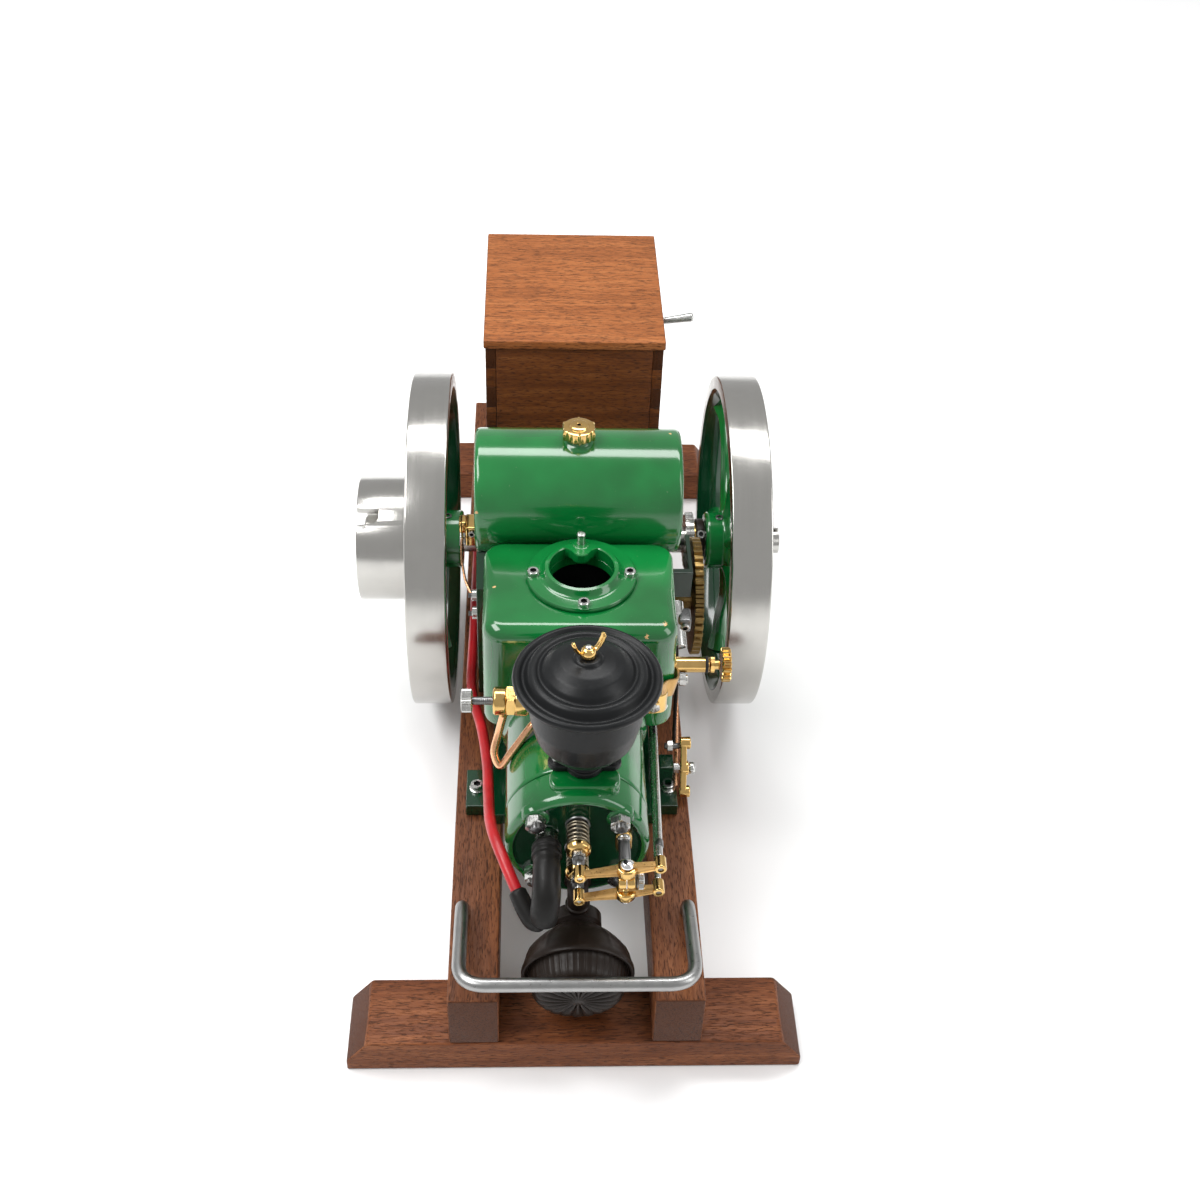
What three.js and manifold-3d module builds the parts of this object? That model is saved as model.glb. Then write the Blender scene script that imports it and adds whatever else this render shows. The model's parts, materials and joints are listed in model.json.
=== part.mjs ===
// Model horizontal open-crank engine on a wooden skid base.
// Millimetres, +Z up, -Y is the cylinder-head end.
import * as THREE from "three";
import { mergeVertices } from "three/addons/utils/BufferGeometryUtils.js";
import Module from "manifold-3d";

const wasm = await Module();
wasm.setup();

// ---- driving dimensions ----
const GAP = 0.3;                 // clearance left between touching pieces
const RUN = 0.08;                // running clearance of turning and sliding fits
const BASE = { len: 328, railW: 16, railH: 23, railX: 32.6, skidH: 14, skidD: 25, skidL: 148,
  rearL: 140 };
const RAIL_TOP = BASE.skidH + BASE.railH;
const END = BASE.len / 2;
const AXIS_Z = 68.6;             // height of crank and cylinder axes
const CRANK_Y = 25;
const STROKE = 32;
const THROW = STROKE / 2;
const ROD_L = 103;
const PIN_Y = CRANK_Y - THROW - ROD_L;   // gudgeon pin at top dead centre
const BORE_R = 13.05;
const JACKET_R = 23;
const HEAD = { front: -128.6, back: -116.3 };
const HOPPER = { x: 1.3, half: 32, front: -77.2, rear: -31.8, bottom: 70, top: 113.6, wall: 3.5 };
const RING = { x: 2, y: -50, outer: 18.3, collar: 12.2, mouth: 10.8 };
const TANK = { x: 1.3, y: -9.7, z: 119.2, r: 21.6, half: 35.5 };
const WHEEL = { r: 63.5, rim: 6, w: 14.5, left: -51.75, right: 62.65, hub: 11, spokes: 6 };
const SHAFT_R = 5;
const GEAR = { pinion: 11, cam: 22, x: 46, w: 3.2, y: -8 };
const BOX = { x: 2, half: 35, front: 79.5, rear: 163.5, wall: 4, top: 120, lid: 4 };
const CLEANER = { x: 2, y: -115.7 };
const MIXER = { y: -93.5, z: 100 };
const ROCKER = { x: 14.4, y: -148, upper: 79, lower: 68, left: 14.2, right: 10, hubRise: 2.6,
  endRise: 4.4 };

const HANDLE = { x: 36.4, rear: -130, front: -165.8, z0: 40.5, z1: 48.3, r: 2.25 };
const ENDS = { pulley: -79.8, dog: 81 };

// ---- materials ----
const mat = (color, roughness, metalness) => new THREE.MeshStandardMaterial({ color, roughness,
  metalness });
const GREEN = mat("#0f5a2a", 0.25, 0.1);
const WOOD = mat("#8a4a2c", 0.6, 0);
const STEEL = mat("#b9b9b6", 0.3, 1);
const IRON = mat("#3a3b3c", 0.45, 0.8);
const BRASS = mat("#c9a145", 0.28, 1);
const COPPER = mat("#c47a4a", 0.35, 1);
const BLACK = mat("#141414", 0.45, 0);
const RUBBER = mat("#1b1a19", 0.7, 0);
const RED = mat("#b3151c", 0.4, 0);
const PLASTIC = mat("#2a4f8a", 0.5, 0);

const root = new THREE.Group();
root.name = "hit_and_miss_engine";
const shifted = new THREE.Group();
// puts the middle of the whole width and length on the origin
shifted.position.set(-(ENDS.pulley + ENDS.dog) / 2, -(END + HANDLE.front - HANDLE.r) / 2, 0);
root.add(shifted);

// ---- geometry helpers ----
function clean(geometry) {
  const g = geometry.clone();
  g.deleteAttribute("normal");
  g.deleteAttribute("uv");
  return mergeVertices(g, 1e-4);
}

function solid(geometry) {
  const g = clean(geometry);
  const index = g.index ? g.index.array : [...Array(g.attributes.position.count).keys()];
  const mesh = new wasm.Mesh({
    numProp: 3,
    vertProperties: new Float32Array(g.attributes.position.array),
    triVerts: new Uint32Array(index),
  });
  return new wasm.Manifold(mesh);
}

function surface(manifold) {
  const mesh = manifold.getMesh();
  const g = new THREE.BufferGeometry();
  g.setAttribute("position", new THREE.BufferAttribute(new Float32Array(mesh.vertProperties), 3));
  g.setIndex(new THREE.BufferAttribute(new Uint32Array(mesh.triVerts), 1));
  return g;
}

const join = (...gs) => surface(gs.map(solid).reduce((a, b) => a.add(b)));
const cut = (g, ...tools) => surface(tools.map(solid).reduce((a, b) => a.subtract(b), solid(g)));

function box(x0, x1, y0, y1, z0, z1) {
  return new THREE.BoxGeometry(x1 - x0, y1 - y0, z1 - z0).translate((x0 + x1) / 2, (y0 + y1) / 2,
    (z0 + z1) / 2);
}

function roundedRect(w, h, r) {
  const s = new THREE.Shape();
  s.moveTo(-w / 2 + r, -h / 2);
  s.lineTo(w / 2 - r, -h / 2);
  s.absarc(w / 2 - r, -h / 2 + r, r, -Math.PI / 2, 0, false);
  s.lineTo(w / 2, h / 2 - r);
  s.absarc(w / 2 - r, h / 2 - r, r, 0, Math.PI / 2, false);
  s.lineTo(-w / 2 + r, h / 2);
  s.absarc(-w / 2 + r, h / 2 - r, r, Math.PI / 2, Math.PI, false);
  s.lineTo(-w / 2, -h / 2 + r);
  s.absarc(-w / 2 + r, -h / 2 + r, r, Math.PI, 1.5 * Math.PI, false);
  return s;
}

// Turn a shape that lies on Z so that its axis lies along X or Y.
const along = { x: (g) => g.rotateY(Math.PI / 2), y: (g) => g.rotateX(-Math.PI / 2), z: (g) => g };

// Cylinder or tapered cylinder along an axis, from a to b, centred on (p, q) in the other two.
function rod(axis, a, b, p, q, r0, r1 = r0, n = 24) {
  const g = new THREE.CylinderGeometry(r1, r0, b - a, n).rotateX(Math.PI / 2);
  along[axis](g);
  const m = (a + b) / 2;
  const at = { x: [m, p, q], y: [p, m, q], z: [p, q, m] }[axis];
  return g.translate(...at);
}

// Turned piece: profile of [radius, height] along an axis, starting at the given point.
function turned(axis, profile, x, y, z, n = 32) {
  const g = new THREE.LatheGeometry(profile.map(([r, h]) => new THREE.Vector2(r, h)),
    n).rotateX(Math.PI / 2);
  along[axis](g);
  return g.translate(x, y, z);
}

function extrude(shape, depth, segments = 6) {
  return new THREE.ExtrudeGeometry(shape, { depth, bevelEnabled: false, curveSegments: segments });
}

// Plate whose outline is given in (y, z), running from x0 to x1.
function sidePlate(points, x0, x1) {
  const s = new THREE.Shape(points.map(([y, z]) => new THREE.Vector2(y, z)));
  return extrude(s, x1 - x0).applyMatrix4(new THREE.Matrix4().set(0, 0, 1, x0, 1, 0, 0, 0, 0, 1, 0,
    0, 0, 0, 0, 1));
}

function curve(points, tension = 0.5) {
  const list = points.map((p) => new THREE.Vector3(...p));
  return new THREE.CatmullRomCurve3(list, false, "centripetal", tension);
}

// Round bar along a path, with an even number of sides.
function tube(path, r, steps, sides = 8) {
  const s = new THREE.Shape();
  s.absarc(0, 0, r, 0, 2 * Math.PI, false);
  return new THREE.ExtrudeGeometry(s, { steps, extrudePath: path, curveSegments: sides / 2,
    bevelEnabled: false });
}

function hexRod(axis, a, b, p, q, flats) {
  return rod(axis, a, b, p, q, flats / Math.sqrt(3), flats / Math.sqrt(3), 6);
}

function add(name, geometry, material) {
  const mesh = new THREE.Mesh(geometry, material);
  mesh.name = name;
  shifted.add(mesh);
  return mesh;
}

// ---- wooden base ----
const railBox = (x) => box(x - BASE.railW / 2, x + BASE.railW / 2, -END, END, BASE.skidH + GAP, RAIL_TOP);
add("left_rail", railBox(-BASE.railX), WOOD);
add("right_rail", railBox(BASE.railX), WOOD);

function skid(length, y0, y1) {
  const h = length / 2, c = 7.3, d = 9.5;
  const s = new THREE.Shape();
  s.moveTo(-h, 0);
  s.lineTo(h, 0);
  s.lineTo(h, BASE.skidH - d);
  s.lineTo(h - c, BASE.skidH);
  s.lineTo(-h + c, BASE.skidH);
  s.lineTo(-h, BASE.skidH - d);
  return extrude(s, y1 - y0).rotateX(Math.PI / 2).translate(0, y1, 0);
}
add("front_skid", skid(BASE.skidL, -END, -END + BASE.skidD), WOOD);
add("rear_skid", skid(BASE.rearL, END - BASE.skidD, END), WOOD);

const handlePath = curve([
  [-HANDLE.x, HANDLE.rear, RAIL_TOP + GAP], [-HANDLE.x, HANDLE.rear, RAIL_TOP + 1.4],
  [-HANDLE.x, HANDLE.rear - 1.8, HANDLE.z0], [-HANDLE.x, HANDLE.rear - 6, HANDLE.z0 + 1.2],
  [-HANDLE.x, HANDLE.front + 9, HANDLE.z1 - 1.2],
  [-HANDLE.x + 2.4, HANDLE.front + 2.4, HANDLE.z1], [-HANDLE.x + 9, HANDLE.front, HANDLE.z1],
  [-HANDLE.x + 12, HANDLE.front, HANDLE.z1], [HANDLE.x - 12, HANDLE.front, HANDLE.z1],
  [HANDLE.x - 9, HANDLE.front, HANDLE.z1], [HANDLE.x - 2.4, HANDLE.front + 2.4, HANDLE.z1],
  [HANDLE.x, HANDLE.front + 9, HANDLE.z1 - 1.2], [HANDLE.x, HANDLE.rear - 6, HANDLE.z0 + 1.2],
  [HANDLE.x, HANDLE.rear - 1.8, HANDLE.z0], [HANDLE.x, HANDLE.rear, RAIL_TOP + 1.4],
  [HANDLE.x, HANDLE.rear, RAIL_TOP + GAP],
]);
add("tow_handle", tube(handlePath, HANDLE.r, 40, 12), STEEL);

// ---- ignition box ----
const bx0 = BOX.x - BOX.half, bx1 = BOX.x + BOX.half;
const TOGGLE = { y: 116, z: 110.5, lever: 15.6, tilt: 0.165 };
add("ignition_box", cut(
  box(bx0, bx1, BOX.front, BOX.rear, RAIL_TOP + GAP, BOX.top),
  box(bx0 + BOX.wall, bx1 - BOX.wall, BOX.front + BOX.wall, BOX.rear - BOX.wall, RAIL_TOP + 5,
    BOX.top + 1),
  rod("x", bx1 - 6, bx1 + 2, TOGGLE.y, TOGGLE.z, 3.3),
), WOOD);
add("box_lid", box(bx0 - 0.7, bx1 + 0.7, BOX.front - 1, BOX.rear + 0.5, BOX.top + GAP,
  BOX.top + BOX.lid), WOOD);
add("battery_pack", box(bx0 + 8, bx0 + 36, 90, 152, RAIL_TOP + 5 + GAP, RAIL_TOP + 37), BLACK);
add("ignition_module", box(bx0 + 40, bx1 - 10, 92, 128, RAIL_TOP + 5 + GAP, RAIL_TOP + 33), PLASTIC);
add("toggle_switch", cut(
  join(
    box(bx1 - 14, bx1 - BOX.wall - GAP, TOGGLE.y - 6, TOGGLE.y + 6, TOGGLE.z - 5, TOGGLE.z + 5),
    rod("x", bx1 - 6, bx1 + 2, TOGGLE.y, TOGGLE.z, 3),
    hexRod("x", bx1 + GAP, bx1 + 1.6, TOGGLE.y, TOGGLE.z, 7),
  ),
  rod("x", bx1 - 3, bx1 + 3, TOGGLE.y, TOGGLE.z, 2.2),
), STEEL);
const lever = rod("x", 0, TOGGLE.lever, 0, 0, 1.2, 1.5, 16);
add("toggle_lever", lever.rotateY(-TOGGLE.tilt).translate(bx1 - 0.5, TOGGLE.y, TOGGLE.z), STEEL);

// ---- engine bed ----
const sideOutline = [
  [-31.4, 41], [62, 41], [62, 50], [40, 62], [38, AXIS_Z - 0.2], [12, AXIS_Z - 0.2], [8, 78], [3, 104],
  [-22, 104], [-31.4, 92],
];
const bedSolids = [
  box(-28, 28, -92, 62, RAIL_TOP + GAP, 42),
  box(-37, 36.3, -88, -71, RAIL_TOP + GAP, 42),
  box(-37.5, 37.5, 44, 60, RAIL_TOP + GAP, 42),
  sidePlate(sideOutline, -34, -24),
  sidePlate(sideOutline, 24, 34),
  box(-30, 30, -31.4, -21.4, 41, 92),
  box(-30, 30, 57, 62, 41, 50),
  box(30, 34.9, -79, -72.5, 41, 51.5),
  box(-38.6, -33, 2, 10, 84, 85.6),
  box(-38.6, -37.2, 2, 10, 84, 92),
  box(33, 43.4, -20, -17.5, 78.4, 90),
  box(41.8, 43.4, -20, 2, 78.4, 90),
];
const bedTools = [
  rod("x", -40, 40, CRANK_Y, AXIS_Z, SHAFT_R + RUN + 0.01, SHAFT_R + RUN + 0.01, 48),
  rod("x", 20, 40, GEAR.y, AXIS_Z, 3.09, 3.09, 32),
  rod("y", -40, -10, 0, AXIS_Z, 16.6, 16.6, 48),
  rod("x", -40, 40, TANK.y, TANK.z, TANK.r + GAP, TANK.r + GAP, 64),
  box(-18, 18, -15, 52, RAIL_TOP, 45),
  rod("y", -60, -32, 0, AXIS_Z, 30, 30, 32),
];
add("engine_bed", cut(join(...bedSolids), ...bedTools), GREEN);

function bearingCap(x0, x1) {
  const body = join(
    rod("x", x0, x1, CRANK_Y, AXIS_Z, 10.5, 10.5, 40),
    box(x0, x1, CRANK_Y - 12.6, CRANK_Y + 12.6, AXIS_Z, AXIS_Z + 5),
  );
  return cut(body,
    box(-60, 60, CRANK_Y - 30, CRANK_Y + 30, AXIS_Z - 30, AXIS_Z + 0.1),
    rod("x", -60, 60, CRANK_Y, AXIS_Z, SHAFT_R + RUN + 0.01, SHAFT_R + RUN + 0.01, 48));
}
add("bearing_cap_left", bearingCap(-33.5, -24.5), GREEN);
add("bearing_cap_right", bearingCap(24.5, 33.5), GREEN);

// ---- water hopper with cylinder jacket ----
const hw = HOPPER.half, hl = HOPPER.rear - HOPPER.front, hh = HOPPER.top - HOPPER.bottom;
const hopperBody = extrude(roundedRect(2 * hw, hl, 5), hh, 4)
  .translate(HOPPER.x, (HOPPER.front + HOPPER.rear) / 2, HOPPER.bottom);
const cavity = solid(box(HOPPER.x - hw + 3.5, HOPPER.x + hw - 3.5, HOPPER.front + 3.5, HOPPER.rear - 3.5,
  HOPPER.bottom + 4, HOPPER.top - 3.5)).subtract(solid(rod("y", -90, -20, 0, AXIS_Z, 19.6, 19.6, 48)));
const hopper = [
  rod("y", HEAD.back + GAP, HOPPER.rear, 0, AXIS_Z, JACKET_R, JACKET_R, 64),
  hopperBody,
].map(solid).reduce((a, b) => a.add(b))
  .subtract(cavity)
  .subtract(solid(rod("y", -130, -20, 0, AXIS_Z, 16, 16, 48)))
  .subtract(solid(rod("z", HOPPER.top - 6, HOPPER.top + 5, RING.x, RING.y, RING.mouth, RING.mouth, 40)))
  .subtract(solid(rod("x", -60, 60, TANK.y, TANK.z, TANK.r + GAP, TANK.r + GAP, 64)));
add("water_hopper", surface(hopper), GREEN);
add("cylinder_liner", turned("y", [
  [BORE_R, 0], [15.7, 0], [15.7, 77.9], [BORE_R, 77.9], [BORE_R, 0],
], 0, HEAD.back + 0.4, AXIS_Z, 48), IRON);

const ringTop = HOPPER.top + GAP;
add("hopper_collar", join(
  turned("z", [[RING.mouth, 0], [RING.outer, 0], [RING.outer, 1.4], [RING.outer - 0.6, 2],
    [RING.collar, 2],
    [RING.collar, 3.4], [RING.mouth, 3.4], [RING.mouth, 0]], RING.x, RING.y, ringTop, 48),
  rod("z", ringTop + 0.2, ringTop + 4.5, RING.x, RING.y + 11.4, 3, 3, 20),
  rod("z", ringTop + 4, ringTop + 8.5, RING.x, RING.y + 12.4, 1.3, 1.3, 16),
), GREEN);

// ---- fuel tank ----
add("fuel_tank", cut(
  join(
    turned("x", [[0, 0], [TANK.r - 1.5, 0], [TANK.r, 1.5], [TANK.r, 2 * TANK.half - 1.5],
      [TANK.r - 1.5, 2 * TANK.half], [0, 2 * TANK.half]], TANK.x - TANK.half, TANK.y, TANK.z, 64),
    rod("z", TANK.z + TANK.r - 1, TANK.z + TANK.r + 2.4, TANK.x, TANK.y, 4.6, 4.6, 24),
  ),
  rod("z", TANK.z + TANK.r - 3, TANK.z + TANK.r + 4, TANK.x, TANK.y, 3.2, 3.2, 24),
), GREEN);
const lobes = [...Array(6).keys()].map((i) => {
  const a = (i * Math.PI) / 3 + Math.PI / 6;
  return rod("z", 0, 2.6, 5.1 * Math.cos(a), 5.1 * Math.sin(a), 1.2, 1.2, 12);
});
add("tank_cap", cut(
  join(rod("z", 0, 3, 0, 0, 5.6, 5.6, 32), rod("z", -4, 0.5, 0, 0, 2.9, 2.9, 24),
    rod("z", 2.5, 3.8, 0, 0, 3.4, 2.6, 24), ...lobes),
  rod("z", 1.5, 5, 0, 0, 0.7, 0.7, 12),
).translate(TANK.x, TANK.y, TANK.z + TANK.r + 2.4 + GAP), BRASS);

// ---- crankshaft, built up from two halves that meet at the crank pin ----
function crankHalf(side) {
  const web = join(
    rod("x", 4.2, 9, CRANK_Y - THROW, AXIS_Z, 6, 6, 24),
    rod("x", 4.2, 9, CRANK_Y, AXIS_Z, 9.5, 9.5, 32),
    box(4.2, 9, CRANK_Y - THROW, CRANK_Y, AXIS_Z - 5.5, AXIS_Z + 5.5),
    cut(rod("x", 4.2, 9, CRANK_Y, AXIS_Z, 21, 21, 40), box(0, 12, CRANK_Y - 40, CRANK_Y + 5, 0, 120)),
  );
  const end = side > 0 ? ENDS.dog : -ENDS.pulley - 0.3;
  const pieces = [web, rod("x", 3.8, 5, CRANK_Y - THROW, AXIS_Z, 4, 4, 24),
    rod("x", 8, end, CRANK_Y, AXIS_Z, SHAFT_R, SHAFT_R, 32)];
  let g = join(...pieces);
  if (side > 0) g = cut(g, box(77.5, 86, CRANK_Y - 0.9, CRANK_Y + 0.9, 50, 90));
  if (side < 0) g = clean(g.scale(-1, 1, 1));
  if (side < 0) {
    const a = g.index.array;
    for (let i = 0; i < a.length; i += 3) [a[i], a[i + 1]] = [a[i + 1], a[i]];
  }
  return g;
}
add("crank_left", crankHalf(-1), STEEL);
add("crank_right", crankHalf(1), STEEL);

function flywheel(x, hub0, hub1) {
  const h = WHEEL.w / 2, inner = WHEEL.r - WHEEL.rim;
  const parts = [
    turned("x", [[inner, -h], [WHEEL.r - 0.6, -h], [WHEEL.r, -h + 0.6], [WHEEL.r, h - 0.6],
      [WHEEL.r - 0.6, h], [inner, h], [inner, -h]], x, CRANK_Y, AXIS_Z, 64),
    rod("x", hub0, hub1, CRANK_Y, AXIS_Z, WHEEL.hub, WHEEL.hub, 32),
  ];
  for (let i = 0; i < WHEEL.spokes; i++) {
    const g = box(x - 3, x + 3, -4, 4, 8, inner + 1).rotateX((i * 2 * Math.PI) / WHEEL.spokes);
    parts.push(g.translate(0, CRANK_Y, AXIS_Z));
  }
  return cut(join(...parts), rod("x", -90, 90, CRANK_Y, AXIS_Z, SHAFT_R + GAP, SHAFT_R + GAP, 32));
}
add("flywheel_left", flywheel(WHEEL.left, WHEEL.left - 7.2, WHEEL.left + 11), STEEL);
add("flywheel_right", flywheel(WHEEL.right, WHEEL.right - 10.5, WHEEL.right + 5), STEEL);
const pulleyX = WHEEL.left - WHEEL.w / 2 - GAP;
add("belt_pulley", cut(
  turned("x", [[SHAFT_R + GAP, 0], [23.7, 0], [23.7, -20.5], [20, -20.5], [20, -5], [9, -5], [9, -19],
    [SHAFT_R + GAP, -19], [SHAFT_R + GAP, 0]].reverse(), pulleyX, CRANK_Y, AXIS_Z, 48),
  box(pulleyX - 25, pulleyX - 12, -3.6, 3.6, 16, 28).rotateX(0.56).translate(0, CRANK_Y, AXIS_Z),
), STEEL);

function toothed(r, depth, teeth, x0, x1) {
  const pts = [];
  for (let i = 0; i < teeth; i++) {
    const a = (i * 2 * Math.PI) / teeth, d = Math.PI / teeth;
    pts.push([r * Math.cos(a - d * 0.35), r * Math.sin(a - d * 0.35)]);
    pts.push([r * Math.cos(a + d * 0.35), r * Math.sin(a + d * 0.35)]);
    pts.push([(r - depth) * Math.cos(a + d * 0.7), (r - depth) * Math.sin(a + d * 0.7)]);
    pts.push([(r - depth) * Math.cos(a + d * 1.3), (r - depth) * Math.sin(a + d * 1.3)]);
  }
  return sidePlate(pts, x0, x1);
}
const g0 = GEAR.x - GEAR.w / 2, g1 = GEAR.x + GEAR.w / 2;
add("crank_pinion", cut(toothed(GEAR.pinion - 0.15, 1.2, 20, g0, g1),
  rod("x", 40, 50, 0, 0, SHAFT_R + GAP, SHAFT_R + GAP, 32)).translate(0, CRANK_Y, AXIS_Z), STEEL);
add("cam_gear", join(toothed(GEAR.cam - 0.15, 1.2, 40, g0, g1), rod("x", 22, g0 + 1, 0, 0, 3, 3, 32),
  rod("x", 38, g0 + 1, 0, 2, 7, 7, 32)).translate(0, GEAR.y, AXIS_Z), BRASS);

// ---- piston and connecting rod ----
add("piston", cut(
  turned("y", [[0, 0], [12.4, 0], [12.97, 0.6], [12.97, 30], [10.2, 30], [10.2, 7], [0, 7]],
    0, PIN_Y - 19, AXIS_Z, 48),
  rod("x", -20, 20, PIN_Y, AXIS_Z, 3.09, 3.09, 32),
), STEEL);
add("gudgeon_pin", rod("x", -12.2, 12.2, PIN_Y, AXIS_Z, 3, 3, 32), STEEL);
add("connecting_rod", cut(
  join(
    rod("x", -3.5, 3.5, PIN_Y, AXIS_Z, 5.6, 5.6, 24),
    rod("x", -3.5, 3.5, PIN_Y + ROD_L, AXIS_Z, 7.6, 7.6, 32),
    box(-2.5, 2.5, PIN_Y + 3, PIN_Y + ROD_L - 3, AXIS_Z - 3.4, AXIS_Z + 3.4),
  ),
  rod("x", -5, 5, PIN_Y, AXIS_Z, 3 + GAP, 3 + GAP, 24),
  rod("x", -5, 5, PIN_Y + ROD_L, AXIS_Z, 4 + RUN, 4 + RUN, 32),
), STEEL);

// ---- cylinder head, valves and rockers ----
const PLUG = { x: -9.7, z: 75 };
const nutSpots = [[-13.1, 13.1], [13.1, 13.1], [-13.1, -13.1], [13.1, -13.1]];
const headTools = [
  rod("y", -120, -110, 0, AXIS_Z, 13.6, 13.6, 32),
  rod("y", HEAD.front - 1, HEAD.back + 1, 0, ROCKER.upper, 1.2, 1.2, 16),
  rod("y", HEAD.front - 1, HEAD.back + 1, 0, ROCKER.lower, 1.2, 1.2, 16),
  rod("y", HEAD.front - 1, HEAD.front + 6, PLUG.x, PLUG.z, 2.4, 2.4, 20),
];
add("cylinder_head", cut(
  join(
    turned("y", [[0, 0], [JACKET_R - 1.6, 0], [JACKET_R, 1.6], [JACKET_R, 12.3], [0, 12.3]],
      0, HEAD.front, AXIS_Z, 64),
    box(-9, 13, -124.5, HEAD.back, AXIS_Z + 15, AXIS_Z + JACKET_R + 1),
  ),
  ...headTools,
), GREEN);
nutSpots.forEach(([x, z], i) => {
  add(`head_nut_${i + 1}`, join(
    hexRod("y", HEAD.front - 2.9, HEAD.front - GAP, x, AXIS_Z + z, 5.5),
    rod("y", HEAD.front - 4.2, HEAD.front - 1, x, AXIS_Z + z, 1.5, 1.5, 16),
  ), STEEL);
});

const SEAT = HEAD.front - GAP;
function valve(z, material) {
  return join(
    rod("y", ROCKER.y + 3.1, -118.6, 0, z, 0.95, 0.95, 16),
    rod("y", -119.6, -118.2, 0, z, 2, 2.7, 20),
    turned("y", [[0, 0], [3, 0], [4, 1], [4, 2.6], [0, 2.6]], 0, -139.8, z, 24),
    hexRod("y", -142.2, -139, 0, z, 4),
  );
}
add("intake_valve", valve(ROCKER.upper), BRASS);
add("exhaust_valve", valve(ROCKER.lower), BRASS);
function spring(z) {
  const pts = [];
  for (let i = 0; i <= 60; i++) {
    const a = (i / 60) * 10 * Math.PI;
    pts.push(new THREE.Vector3(3.2 * Math.cos(a), -136.7 + (i / 60) * 7.5, z + 3.2 * Math.sin(a)));
  }
  return tube(new THREE.CatmullRomCurve3(pts), 0.35, 70, 4);
}
add("intake_spring", spring(ROCKER.upper), STEEL);
add("exhaust_spring", spring(ROCKER.lower), STEEL);

function rocker(z) {
  const y = ROCKER.y, hub = z + ROCKER.hubRise;
  const slope = Math.atan2(ROCKER.endRise, ROCKER.left + ROCKER.right);
  return cut(join(
    rod("z", hub - 1.6, hub + 1.6, 0, 0, 3.2, 3.2, 24),
    box(-ROCKER.left, ROCKER.right + 0.3, -1.1, 1.1, -1.1, 1.1).rotateY(-slope).translate(0, 0, hub),
    rod("y", -1.8, 2.8, -ROCKER.left, z, 1.7, 1.7, 20),
    rod("y", -1.8, 2.8, ROCKER.right, z + ROCKER.endRise, 1.8, 1.8, 20),
  ), rod("z", hub - 5, hub + 5, 0, 0, 1.35, 1.35, 24)).translate(ROCKER.x, y, 0);
}
add("rocker_upper", rocker(ROCKER.upper), BRASS);
add("rocker_lower", rocker(ROCKER.lower), BRASS);
const midZ = (ROCKER.upper + ROCKER.lower) / 2;
const lowHub = ROCKER.lower + ROCKER.hubRise, highHub = ROCKER.upper + ROCKER.hubRise;
add("rocker_post", join(
  rod("z", lowHub - 3.2, highHub + 3.4, ROCKER.x, ROCKER.y, 1.27, 1.27, 24),
  rod("z", highHub + 1.9, highHub + 3.9, ROCKER.x, ROCKER.y, 2.2, 1.7, 20),
  rod("z", lowHub - 3.4, lowHub - 1.9, ROCKER.x, ROCKER.y, 2, 2, 20),
  rod("z", lowHub + 1.9, highHub - 1.9, ROCKER.x, ROCKER.y, 2.6, 2.6, 24),
  box(ROCKER.x - 2.2, ROCKER.x + 2.2, ROCKER.y, SEAT, midZ - 0.6, midZ + 4),
  box(ROCKER.x - 2.6, ROCKER.x + 2.6, SEAT - 2.5, SEAT, midZ - 4, midZ + 4.5),
), BRASS);

function pushrod(z) {
  const a = new THREE.Vector3(ROCKER.x + ROCKER.right, ROCKER.y + 3.1, z + ROCKER.endRise);
  const b = new THREE.Vector3(29.2, -34, z - 21.5);
  const path = new THREE.LineCurve3(a, b);
  return tube(path, 1, 1, 8);
}
add("pushrod_upper", pushrod(ROCKER.upper), STEEL);
add("pushrod_lower", pushrod(ROCKER.lower), STEEL);

// ---- spark plug, boot and ignition lead ----
add("spark_plug", join(
  rod("y", HEAD.front - 0.4, HEAD.front + 5, PLUG.x, PLUG.z, 2.3, 2.3, 20),
  hexRod("y", HEAD.front - 3.6, HEAD.front - GAP, PLUG.x, PLUG.z, 6.4),
  rod("y", -138, HEAD.front - 3, PLUG.x, PLUG.z, 1.8, 1.8, 20),
), STEEL);
const bootPath = curve([[PLUG.x, -133.2, PLUG.z], [PLUG.x, -142, PLUG.z - 0.5], [PLUG.x - 0.1,
  -149, PLUG.z - 4],
  [PLUG.x - 0.7, -151, PLUG.z - 10]]);
add("plug_boot", cut(tube(bootPath, 4.1, 14, 16), rod("y", -139, -130, PLUG.x, PLUG.z, 2.1, 2.1,
  20)), RUBBER);
const leadPath = curve([
  [PLUG.x - 1.4, -151.2, 60.8], [-13.6, -150.3, 60], [-16.2, -147.4, 62], [-19, -142.6, 65.2],
  [-23, -134, 69],
  [-26, -125, 69.4], [-27.6, -116, 66.6], [-28.6, -100, 61], [-29.5, -82, 57], [-32, -62, 54],
  [-35.5, -44, 50], [-36.6, -32, 47], [-36.6, 0, 44.4],
  [-36.6, 30, 44.4], [-36.4, 54, 44.4], [-36.2, 64, 44], [-32, 71, 43.6], [-26, 74.8, 44.4],
  [-22.4, 76.8, 45],
  [-22, 79.1, 45],
]);
add("ignition_lead", tube(leadPath, 1.85, 60, 8), RED);

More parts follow.
